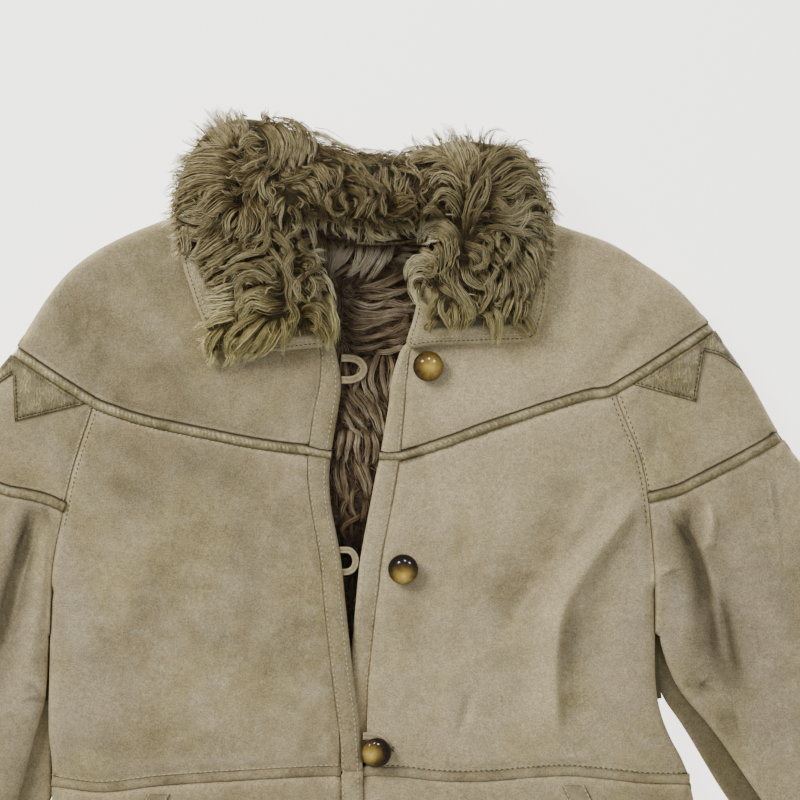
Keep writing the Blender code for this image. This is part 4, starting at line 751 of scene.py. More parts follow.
def setToneAndShade(name, piece, flat, rim, seam):
    # painted highlight on seam lips and rims and painted shade in seam grooves and fold hollows, over the skin's own
    # clouds and tone patches
    x, y = flat[:, 0], flat[:, 1]
    tone, blush = toneAt(x, y)
    outer = easeIn((abs(x - 8.0) - 45.0) / 15.0)   # the seams of the front bands are softer than the others
    # painted highlight on the raised lip beside a seam, painted shade in the seam's groove
    lip = (0.05 + 0.29 * outer) * np.exp(-((seam - 2.2) / 1.6) ** 2) - (0.14 + 0.56 * outer) * np.exp(-(seam / 0.6) ** 2)
    if "band" in name:
        # on the bands, painted shade along the stitch rows
        lip -= 0.24 * np.exp(-((rim - 4.3) / 1.3) ** 2) + 0.14 * np.exp(-((seam - 1.5) / 1.3) ** 2)
    # painted highlight along the rolled rims
    edge = 0.22 * np.exp(-((rim - 2.0) / 3.0) ** 2)
    cloud = 0.09 * softNoise(x, y, 40.0, 21) + 0.08 * softNoise(x, y, 14.0, 22)
    gain = 0.78 + 0.5 * easeIn((abs(x) - 262.0) / 16.0)   # tone patches and painted fold shade count for more on the sleeves, whose folds are deeper
    # painted shade in the hollows of folds and creases, painted light on their ridges
    hollow = (0.12 + 0.07 * (abs(x) > 262.0)) * (lineRelief(x, y, creaseRows) + steepRelief(x, y))
    shown = np.zeros((2, len(piece.data.vertices)))
    shown[0, :len(x)] = panelTones.get(name, 0.0) + lip + edge + cloud + hollow + gain * tone
    shown[1, :len(x)] = blush
    setValues(piece, "toneAndShade", shown[0])
    setValues(piece, "blush", shown[1])


def meetNeighbours(outline, rims):
    # sewn edges are drawn out to the edge of a panel cut before, or a hair further than their own cut
    moved = outline - normalsIn(outline) * (panelLooks["meet"] * (rims < 0.5))[:, None]
    for other in panelGrids:
        if other in panels:
            edge = panels[other]["outline"]
            ahead = np.roll(edge, -1, 0)
            away, share = toSegments(outline, edge, ahead)
            near = away.argmin(1)
            spots = edge[near] + (ahead - edge)[near] * share[np.arange(len(outline)), near][:, None]
            close = (away.min(1) < panelLooks["catch"]) & (rims < 0.5)
            moved = np.where(close[:, None], spots, moved)
    return moved


def buildPanel(name, grid):
    loop, points = undersideLoop(name)
    kinds = edgeKinds(name, loop, points)
    outline, rims, runs = refineOutline(loop[:, :2], kinds, panelLooks["edgeStep"])
    outline = meetNeighbours(outline, rims)
    if name == "front_band_L":
        above = np.clip(outline[:, 1] - onCoat(0, 350)[1], 0.0, 30.0)
        outline[:, 0] += 0.55 * above * (outline[:, 0] < onCoat(414, 0)[0])
    rings = panelLooks["rings"][:4] if "band" in name else panelLooks["rings"]
    extra = creasePoints(outline, fillPoints(outline, grid, rings))
    rule = panelRule(name, outline, rims)
    flat = np.vstack([outline, extra])
    top, rim, seam = rule(flat[:, 0], flat[:, 1])
    piece = closedPanel(name + "_suede", outline, extra, top, lambda x, y: underside(name, y), suede, 0.15)
    setToneAndShade(name, piece, flat, rim, seam)
    panels[name] = {"outline": outline, "runs": runs, "rule": rule, "piece": piece, "rims": rims}
    return piece


panelTones = {   # how much lighter or darker each skin is than the others
    "front_yoke_R": -0.24, "front_R": -0.08, "front_band_R": -0.22, "front_yoke_L": 0.15, "front_L": 0.12,
    "front_band_L": 0.15, "sleeve_upper_front_R": -0.05,
}
sleeveShade = {"sleeve_lower_back_L": 0.8, "sleeve_lower_back_R": 0.12}   # painted shade on the under side of a sleeve, which lies in the shadow of the upper side


def buildBack(name, grid=9.0):
    # one layer of shearling under the coat: suede below, fleece above
    loop, _ = undersideLoop(name)
    outline, rims, runs = refineOutline(loop[:, :2], np.zeros(len(loop)), 5.0)
    outline = outline - normalsIn(outline) * panelLooks["meet"]
    if name == "sleeve_lower_back_R":   # its slack bulges out beside the body
        level = onCoat(0, 790)[1]
        bulge = 19.0 * np.exp(-((outline[:, 1] - level) / 62.0) ** 2) * (outline[:, 0] > onCoat(-40, 0)[0])
        outline[:, 0] = np.minimum(outline[:, 0] + bulge, np.maximum(outline[:, 0], onCoat(49.0, 0)[0]))
    reach = heights["backTop"]
    extra = fillPoints(outline, grid, (1.0, 3.0, 6.0))
    flat = np.vstack([outline, extra])
    away = toSegments(flat, outline, np.roll(outline, -1, 0))[0].min(1)
    top = reach - 2.6 * (1.0 - np.sqrt(1.0 - (1.0 - np.clip(away / 4.0, 0, 1)) ** 2))
    piece = closedPanel(name + "_shearling", outline, extra, top, lambda x, y: np.zeros(len(x)), suedeFleece
                        if name in ("back", "back_yoke", "back_skirt") else suede, 0.0)
    toneAndShade = np.zeros(len(piece.data.vertices))
    # painted highlight along the rolled rim, and the painted shade of an under sleeve
    toneAndShade[:len(flat)] = 0.3 * np.exp(-(away / 3.0) ** 2) - sleeveShade.get(name, 0.0)
    setValues(piece, "toneAndShade", toneAndShade)
    panels[name] = {"outline": outline, "runs": runs, "piece": piece, "rims": rims}
    return piece


def declare(piece, node):
    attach(piece, "root")
    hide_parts(node)


backNodes = [n for n in nodes if n.startswith("back") or "_back_" in n]
for name in backNodes:
    piece = buildBack(name)
    declare(piece, name)
print("back layer cut")

under = {"front_yoke": "back_yoke", "front_band": "back", "front_skirt": "back_skirt", "skirt_band": "back_skirt",
         "sleeve_upper_front": "sleeve_upper_back", "sleeve_lower_front": "sleeve_lower_back", "front": "back"}
for name, grid in panelGrids.items():
    piece = buildPanel(name, grid)
    kind, side = name[:-2], name[-1]
    declare(piece, name)
print("front layer cut:", sum(len(p["piece"].data.polygons) for p in panels.values()), "faces so far")


# piping, strips, trims and welts

pipingLooks = {"width": 9.8, "rise": 3.5, "step": 0.95, "wrinkle": 0.45, "rib": 0.3, "pitch": 3.6, "crease": 3.1,
               "arc": 11, "shadow": 1.0, "overrun": 1.8}
stripLooks = {"width": 8.2, "rise": 1.7, "step": 2.2, "wrinkle": 0.18, "rib": 0.0, "pitch": 9.0, "crease": 7.0,
              "arc": 9, "shadow": 0.35, "overrun": 0.4}
crossBands = {"yoke_piping_R": ((316, 452.2), (323, 453.6), (329.5, 454.6)),
              "yoke_piping_L": ((381.5, 455.5), (387, 456.2), (395, 456.2))}   # where a piping goes on over a band


glints = {"yoke_piping_R": 1.2, "yoke_piping_L": 0.85, "sleeve_piping_R": 0.35, "sleeve_piping_L": 0.12}   # painted highlights along each piping's crest
leads = {"waist_strip_L": 3.4}   # how far a strip goes on under the band


def stripPath(name):
    # the middle line of a CAD strip, from the two sides of its flat underside
    loop = undersideLoop(name)[0][:, :2]
    half = len(loop) // 2
    choices = [np.roll(loop, -k, 0) for k in range(len(loop))]
    spreads = [np.linalg.norm(c[:half] - c[::-1][:half], axis=1).std() for c in choices]
    best = choices[int(np.argmin(spreads))]
    return (best[:half] + best[::-1][:half]) / 2.0


def sweepStrip(name, looks, material, seed, rolledEnd):
    path = stripPath(name)
    if name in crossBands:
        onward = np.column_stack(onCoat(*np.array(crossBands[name]).T))
        path = np.vstack([path, onward]) if onward[0, 0] < 0.0 else np.vstack([onward, path])
    ends = [path[0] - path[1], path[-1] - path[-2]]
    reach = [looks["overrun"] + leads.get(name, 0.0) * (abs(end[0]) < 60.0) for end in (path[0], path[-1])]
    ends = [end / np.linalg.norm(end) * length for end, length in zip(ends, reach)]
    path = smoothLine(np.vstack([path[0] + ends[0], path, path[-1] + ends[1]]), looks["step"])
    run = np.gradient(path, axis=0)
    run /= np.linalg.norm(run, axis=1)[:, None]
    side = np.column_stack([-run[:, 1], run[:, 0]])
    along = np.concatenate([[0.0], np.cumsum(np.linalg.norm(np.diff(path, axis=0), axis=1))])
    top = frontHeight(path[:, 0], path[:, 1]) - heights["seamDrop"]
    onBand = easeIn((52.0 - abs(path[:, 0])) / 6.0) if name in crossBands else 0.0 * top
    top += 2.4 * onBand
    if rolledEnd:
        outer = path[np.argmax(abs(path[:, 0]))]
        near = np.clip(np.linalg.norm(path - outer, axis=1) / heights["rimWidth"], 0.0, 1.0)
        top -= 5.0 * (1.0 - np.sqrt(1.0 - (1.0 - near) ** 2))
    rings, shades = [], []
    for k in range(looks["arc"]):
        angle = math.pi * k / (looks["arc"] - 1)
        offset = -math.cos(angle) * looks["width"] / 2.0
        level = math.sin(angle) ** 0.75
        ripple = softNoise(along + 0.45 * offset, np.full(len(along), offset * 0.35), looks["crease"], seed)
        ripple += 0.5 * softNoise(along - 0.3 * offset, np.full(len(along), offset * 0.5), looks["crease"] * 0.45, seed + 1)
        swell = 1.0 + 0.07 * softNoise(along, along * 0.0, 24.0, seed + 2)
        wander = along + 0.6 * offset + 2.2 * softNoise(along, along * 0.0, 15.0, seed + 3)
        rib = np.sin(2.0 * math.pi * wander / looks["pitch"]) * (0.6 + 0.4 * softNoise(along, along * 0.0, 11.0, seed + 4))
        z = top + looks["rise"] * level * swell * (1.0 - 0.25 * onBand)
        z += (looks["wrinkle"] * ripple + looks["rib"] * rib) * (0.3 + 0.7 * level)
        spot = path + side * offset * ((1.0 + 0.04 * ripple) * (1.0 - 0.22 * onBand))[:, None]
        rings.append(np.column_stack([spot, z]))
        upper = offset * np.sign(side[:, 1]) / looks["width"]
        # painted highlights on the crest, painted shadow along the upper edge under the panel above, and lighter
        # painted shade along the lower edge
        glint = easeIn((0.85 * rib + 0.45 * ripple + 0.1) / 0.8) * np.exp(-((upper - 0.02) / 0.2) ** 2)
        shades.append(glints.get(name, 0.0) * (0.9 * glint - 0.1) - 0.06 * (looks["rib"] > 0.0)
                      - 0.9 * looks["shadow"] * easeIn((upper - 0.20) / 0.2)
                      - 0.3 * looks["shadow"] * easeIn((-upper - 0.26) / 0.2))
    for sign, place in ((-1.0, 0), (1.0, len(rings) + 1)):
        foot = path + side * sign * looks["width"] / 2.0
        rings.insert(place, np.column_stack([foot, np.full(len(path), heights["frontBase"])]))
    points = np.stack(rings, 1)
    rows, columns = points.shape[:2]
    faces = []
    for i in range(rows - 1):
        for k in range(columns):
            m = (k + 1) % columns
            faces.append((i * columns + k, (i + 1) * columns + k, (i + 1) * columns + m, i * columns + m))
    faces.append(tuple(range(columns)))
    faces.append(tuple((rows - 1) * columns + k for k in range(columns))[::-1])
    piece = makeObject(name + "_sewn", points.reshape(-1, 3), faces, material)
    shades = [shades[0]] + shades + [shades[-1]]
    setValues(piece, "toneAndShade", np.stack(shades, 1).reshape(-1))
    recalcNormals(piece)
    declare(piece, name)


def recalcNormals(piece):
    work = bmesh.new()
    work.from_mesh(piece.data)
    bmesh.ops.recalc_face_normals(work, faces=work.faces)
    work.to_mesh(piece.data)
    work.free()


for seed, side in enumerate(("R", "L")):
    sweepStrip("yoke_piping_" + side, pipingLooks, piping, 40 + seed, True)
    sweepStrip("sleeve_piping_" + side, pipingLooks, piping, 50 + seed, True)
    sweepStrip("waist_strip_" + side, stripLooks, suedeStrip, 60 + seed, False)

trimLooks = {"wall": 1.9, "lift": 0.15, "edge": 1.8, "grid": 1.7, "inner": -0.5}


# the zigzag edge of each trim in table places, and which stretches of the sleeve's outline it shares
trimPoints = {"R": ((87, 402), (14.5, 421.5), (12, 374), (-27, 403)), "L": ((633, 380), (696.5, 402), (705, 351), (722, 356), (746, 373))}
trimStretches = {"R": (1, 2), "L": (3, 0)}


def trimOutline(side):
    zigzag = np.column_stack(onCoat(*np.array(trimPoints[side], float).T))
    before, after = (panels["sleeve_upper_front_" + side]["runs"][k] for k in trimStretches[side])
    first, last = (zigzag[0], zigzag[-1]) if side == "R" else (zigzag[-1], zigzag[0])
    start = np.linalg.norm(before - first, axis=1).argmin()
    end = np.linalg.norm(after - last, axis=1).argmin()
    loop = np.vstack([before[start:], after[1:end + 1], zigzag[1:-1] if side == "L" else zigzag[-2:0:-1]])
    return loop[np.concatenate([[True], np.linalg.norm(np.diff(loop, axis=0), axis=1) > 0.3])]


def layOn(name, panel, material, looks, wrinkle, loop):
    # a thin piece sewn flat onto a panel, following the panel's own face
    outline, _, runs = refineOutline(loop, np.zeros(len(loop)), 2.6)
    extra = fillPoints(outline, looks["grid"], (0.6, 1.5, 2.8))
    flat = np.vstack([outline, extra])
    away = toSegments(flat, outline, np.roll(outline, -1, 0))[0].min(1)
    rule = panels[panel]["rule"]
    roll = 1.0 - np.sqrt(1.0 - (1.0 - np.clip(away / looks["edge"], 0.0, 1.0)) ** 2)
    top = rule(flat[:, 0], flat[:, 1])[0] + looks["lift"] + looks["wall"] - 1.2 * roll
    top += wrinkle * softNoise(flat[:, 0], flat[:, 1], 8.0, 71)
    top += wrinkle * (0.6 * softNoise(flat[:, 0] * 2, flat[:, 1], 6.0, 72) - 0.5 * abs(softNoise(flat[:, 0], flat[:, 1] * 1.6, 5.0, 73)))
    top -= 0.55 * np.exp(-((away - 2.6) / 0.9) ** 2)
    piece = closedPanel(name + "_sewn", outline, extra, top,
                        lambda x, y: rule(x, y)[0] + looks["lift"], material, 0.2)
    toneShade = np.zeros(len(piece.data.vertices))
    # the skin's own mottling, with painted shade along the outer edge and, on the trims, along the stitch line
    toneShade[:len(flat)] = 0.22 * softNoise(flat[:, 0], flat[:, 1], 16.0, 75) - 0.75 * np.exp(-(away / 0.8) ** 2)
    toneShade[:len(flat)] += looks.get("inner", 0.0) * np.exp(-((away - 2.6) / 0.8) ** 2)
    setValues(piece, "toneAndShade", toneShade)
    panels[name] = {"outline": outline, "runs": runs, "piece": piece}
    declare(piece, name)
    return piece


for side in ("R", "L"):
    layOn("triangle_trim_" + side, "sleeve_upper_front_" + side, trimLeather, trimLooks, 0.5,
          trimOutline(side))
    layOn("pocket_welt_" + side, "front_skirt_" + side, suedeStrip, dict(trimLooks, grid=5.0, inner=0.0), 0.15,
          undersideLoop("pocket_welt_" + side)[0][:, :2])
print("pipings, strips, trims and welts sewn")


# buttons and loops

buttonLooks = {"radius": 13.0, "shank": 2.6, "lift": 4.2, "turns": 56}
buttonPlaces = {  # middle, height of the cloth, lean and which way it leans in degrees, then the amber eye's middle and reach
    "button_1": (56.5, 227.6, 24.3, 0.0, 0.0, 3.6, -0.8, 21.0), "button_2": (35.5, 55.0, 24.3, 3.0, 200.0, 0.8, -6.6, 15.2),
    "button_3": (11.0, -100.5, 24.3, 14.0, -25.0, -6.0, -0.6, 14.6), "button_4": (11.0, -260.0, 24.3, 8.0, 15.0, -6.0, -3.0, 15.0),
}


def buttonProfile(looks):
    # shank, flat back, then a domed face like a cabochon
    radius, lift = looks["radius"], looks["lift"]
    rows = [(looks["shank"] * 1.25, 0.0), (looks["shank"], 0.7), (looks["shank"], lift - 0.3),
            (looks["shank"] + 0.8, lift), (0.84 * radius, lift + 0.3), (0.965 * radius, lift + 0.9)]
    rows += [(radius * math.cos(a), lift + 2.3 + 6.8 * math.sin(a) ** 0.92)
             for a in [math.radians(d) for d in (0, 6, 12, 18, 24, 31, 38, 46, 54, 62, 70, 78, 85)] if a >= 0]
    return rows


def buildButton(name, place):
    x, y, z, lean, way, eyeX, eyeY, eyeReach = place
    profile = buttonProfile(buttonLooks)
    turns = buttonLooks["turns"]
    points, across = [(0.0, 0.0, 0.0)], [1.0]
    for radius, level in profile:
        for k in range(turns):
            angle = 2.0 * math.pi * k / turns
            points.append((radius * math.cos(angle), radius * math.sin(angle), level))
            low = math.hypot(points[-1][0] - eyeX, points[-1][1] - eyeY) / eyeReach
            low += 0.08 * (name == "button_1")   # a duller eye
            across.append(max(low, (radius / buttonLooks["radius"]) ** 14) if level > buttonLooks["lift"] + 2.0 else 1.0)
    points.append((0.0, 0.0, buttonLooks["lift"] + 9.1))
    across.append(math.hypot(eyeX, eyeY) / eyeReach)
    last = len(points) - 1
    faces = [(0, 1 + (k + 1) % turns, 1 + k) for k in range(turns)]
    for ring in range(len(profile) - 1):
        low = 1 + ring * turns
        faces += [(low + k, low + (k + 1) % turns, low + turns + (k + 1) % turns, low + turns + k)
                  for k in range(turns)]
    low = 1 + (len(profile) - 1) * turns
    faces += [(low + k, low + (k + 1) % turns, last) for k in range(turns)]
    tilt, way = math.radians(lean), math.radians(way)
    axis = np.array([-math.sin(way), math.cos(way), 0.0])
    points = np.array(points)
    turned = (points * math.cos(tilt) + np.cross(axis, points) * math.sin(tilt)
              + axis * (points @ axis)[:, None] * (1.0 - math.cos(tilt)))
    turned += (x, y, z + buttonLooks["shank"] * math.sin(tilt))
    piece = makeObject(name + "_resin", turned, faces, resin)
    setValues(piece, "across", across)
    declare(piece, name)


for name, place in buttonPlaces.items():
    buildButton(name, place)

loopLooks = {"half": 9.4, "width": 6.6, "wall": 2.9}
loopPlaces = {  # where the loop leaves the band, height of its underside and its length
    "loop_1": (-17.6, 225.5, 17.0, 22.0), "loop_2": (-21.0, 61.5, 17.0, 18.4),
    "loop_3": (1.0, -95.8, 24.8, 22.5), "loop_4": (3.4, -257.5, 24.8, 22.5),
}


def buildLoop(name, place):
    # a folded suede strip with a raised edge on each side and a seam along its middle
    x, y, z, length = place
    half, width = loopLooks["half"] - 1.0 * (name == "loop_3"), loopLooks["width"] - 0.9 * (name == "loop_2")
    bend = (0.72 if length > 20.0 else 0.5) * (length - 2.8)
    turnX = x + length - bend - 2.8
    arc = [math.pi / 2 - math.pi * k / 16 for k in range(17)]
    stops = [(x, half), ((x + turnX) / 2, half)] + [(turnX + bend * math.cos(a), half * math.sin(a)) for a in arc]
    stops += [((x + turnX) / 2, -half), (x, -half)]
    path = smoothLine(np.array(stops), 1.2)
    run = np.gradient(path, axis=0)
    run /= np.linalg.norm(run, axis=1)[:, None]
    side = np.column_stack([-run[:, 1], run[:, 0]])
    section = [(-0.5, 0.3), (-0.5, 0.72), (-0.42, 0.95), (-0.28, 1.0), (-0.08, 0.86), (0.08, 0.86), (0.28, 1.0),
               (0.42, 0.95), (0.5, 0.72), (0.5, 0.3), (0.38, 0.0), (-0.38, 0.0)]
    sag = 0.5 * np.sin(np.linspace(0, math.pi, len(path)))
    rings = [np.column_stack([path + side * o * width + (0, y), z + level * loopLooks["wall"] + sag
                              + 0.12 * softNoise(path[:, 0] * 1.0, path[:, 1] + o, 3.0, 81)])
             for o, level in section]
    points = np.stack(rings, 1)
    rows, columns = points.shape[:2]
    faces = [(i * columns + k, i * columns + (k + 1) % columns, (i + 1) * columns + (k + 1) % columns,
              (i + 1) * columns + k) for i in range(rows - 1) for k in range(columns)]
    faces += [tuple(range(columns))[::-1], tuple((rows - 1) * columns + k for k in range(columns))]
    piece = makeObject(name + "_strap", points.reshape(-1, 3), faces, suede)
    recalcNormals(piece)
    # painted shade along the middle seam and on the low side walls, a little lighter on top
    groove = [0.15 - 0.45 * (abs(o) < 0.1) - 0.8 * (level < 0.8 and abs(o) > 0.4) for o, level in section]
    setValues(piece, "toneAndShade", np.tile(groove, rows))
    declare(piece, name)


for name, place in loopPlaces.items():
    buildLoop(name, place)
print("buttons and loops made")


# collar skin

def heightMap(tree, low, high, step, upwards=False, blur=2):
    # heights of a surface on a grid, spread past its edge and smoothed; gives a sampler
    xs, ys = np.arange(low[0], high[0] + step, step), np.arange(low[1], high[1] + step, step)
    grid = np.full((len(xs), len(ys)), np.nan)
    start, way = (-50.0, 1.0) if upwards else (250.0, -1.0)
    for i, x in enumerate(xs):
        for j, y in enumerate(ys):
            hit = tree.ray_cast(Vector((x, y, start)) * mm, Vector((0, 0, way)))[0]
            if hit:
                grid[i, j] = hit.z / mm
    for _ in range(40):
        hole = np.isnan(grid)
        if not hole.any():
            break
        wide = np.pad(grid, 1, constant_values=np.nan)
        stack = np.stack([wide[:-2, 1:-1], wide[2:, 1:-1], wide[1:-1, :-2], wide[1:-1, 2:]])
        known = ~np.isnan(stack)
        mean = np.where(known, stack, 0.0).sum(0) / np.maximum(known.sum(0), 1)
        grid = np.where(hole & known.any(0), mean, grid)
    for _ in range(blur):
        wide = np.pad(grid, 1, mode="edge")
        grid = (wide[:-2, 1:-1] + wide[2:, 1:-1] + wide[1:-1, :-2] + wide[1:-1, 2:] + 2 * grid) / 6.0

    def sample(x, y):
        u = np.clip((np.asarray(x) - xs[0]) / step, 0, len(xs) - 1.001)
        v = np.clip((np.asarray(y) - ys[0]) / step, 0, len(ys) - 1.001)
        i, j = u.astype(int), v.astype(int)
        a, b = u - i, v - j
        return ((grid[i, j] * (1 - a) + grid[i + 1, j] * a) * (1 - b)
                + (grid[i, j + 1] * (1 - a) + grid[i + 1, j + 1] * a) * b)
    return sample


collarLooks = {"leather": 7.5, "share": 0.5, "roll": 4.5, "grid": 4.0}


def collarOutline():
    # the CAD collar seen from above, from the widest reach of its sides
    points, faces, normals = nodeMesh("collar")
    up = [f for f, n in zip(faces, normals) if n[2] > 0.05]
    edges = {(f[k], f[(k + 1) % 3]) for f in up for k in range(3)}
    loop = longestLoop((a, b) for a, b in edges if (b, a) not in edges)
    return points[loop][:, :2]


collarEdge = refineOutline(collarOutline(), np.zeros(len(collarOutline())), 3.0)[0]
# table places, how far each corner is rounded, and how far it is drawn out first
softCorners = ((335, 346, 11.0, 0.0, 0.0), (407, 346, 4.0, -2.5, -3.0), (538, 342, 5.0, 0.0, 0.0))
for column, row, reach, outX, outY in softCorners:
    corner = np.array(onCoat(column, row))
    pull = np.exp(-(np.linalg.norm(collarEdge - corner, axis=1) / 12.0) ** 2)[:, None]
    collarEdge = collarEdge + pull * np.array([(outX, outY)])
    corner = corner + np.array([outX, outY])
    for _ in range(14):
        share = np.exp(-(np.linalg.norm(collarEdge - corner, axis=1) / reach) ** 2)[:, None]
        middle = (np.roll(collarEdge, 1, 0) + np.roll(collarEdge, -1, 0)) / 2.0
        collarEdge = collarEdge + 0.9 * share * (middle - collarEdge)
collarTree = surfaceOf(nodes["collar"])
furTop = heightMap(collarTree, (-190, 215), (190, 465), 4.0)
furLow = heightMap(collarTree, (-190, 215), (190, 465), 4.0, True)


def skinHeight(x, y):
    low = furLow(x, y) + collarLooks["leather"]
    return low + collarLooks["share"] * np.maximum(furTop(x, y) - low, 0.0)


def bareMargin(x, y):
    # how wide a margin of leather the fleece leaves bare: none but along the lower parts of the collar
    low = 1.0 - easeIn((y - 285.0) / 25.0)
    side = easeIn((-118.0 - x) / 8.0) * easeIn((326.0 - y) / 12.0) * easeIn((y - 262.0) / 18.0)
    return -2.5 + low * np.where(x > 0.0, 14.0, 1.5 + 9.0 * easeIn((x + 88.0) / 16.0)) + 12.0 * side


def buildCollarSkin():
    inset = 3.6 * (bareMargin(collarEdge[:, 0], collarEdge[:, 1]) < 0.0)
    inset = np.convolve(np.concatenate([inset[-4:], inset, inset[:4]]), np.ones(9) / 9.0, "valid")
    skinEdge = collarEdge + normalsIn(collarEdge) * inset[:, None]
    extra = fillPoints(skinEdge, collarLooks["grid"], (0.8, 1.8, 3.2, 5.0))
    flat = np.vstack([skinEdge, extra])
    away = toSegments(flat, skinEdge, np.roll(skinEdge, -1, 0))[0].min(1)
    roll = 1.0 - np.sqrt(1.0 - (1.0 - np.clip(away / 4.0, 0.0, 1.0)) ** 2)
    groove = 0.5 * np.exp(-((away - 3.4) / 0.9) ** 2) + 0.35 * np.exp(-((away - 7.0) / 0.9) ** 2)
    top = skinHeight(flat[:, 0], flat[:, 1]) - collarLooks["roll"] * roll - groove
    top += 0.4 * softNoise(flat[:, 0], flat[:, 1], 14.0, 91)
    piece = closedPanel("collar_skin", skinEdge, extra, top, lambda x, y: furLow(x, y) + 0.3, suede, 0.6)
    toneAndShade = np.zeros(len(piece.data.vertices))
    # painted highlight along the bare rim, and painted shade where the fleece covers the skin, so the gaps between the
    # locks read dark
    covered = easeIn((away - bareMargin(flat[:, 0], flat[:, 1]) - 1.0) / 5.0)
    toneAndShade[:len(flat)] = 0.25 * np.exp(-(away / 2.5) ** 2) * (1.0 - covered) - 1.6 * covered
    setValues(piece, "toneAndShade", toneAndShade)
    panels["collar"] = {"outline": skinEdge, "piece": piece}
    declare(piece, "collar")


buildCollarSkin()
print("collar skin cut")


# the collar's fleece
def placeOf(column, row, z):
    # a table place on the coat; what stands high looks further from the middle, so it is drawn in a little
    x, y = onCoat(column, row)
    share = 1.0 - (np.asarray(z) - 24.0) / tableGrid["eye"]
    midX, midY = tableGrid["midX"], tableGrid["midY"]
    return midX + (x - midX) * share, midY + (y - midY) * share


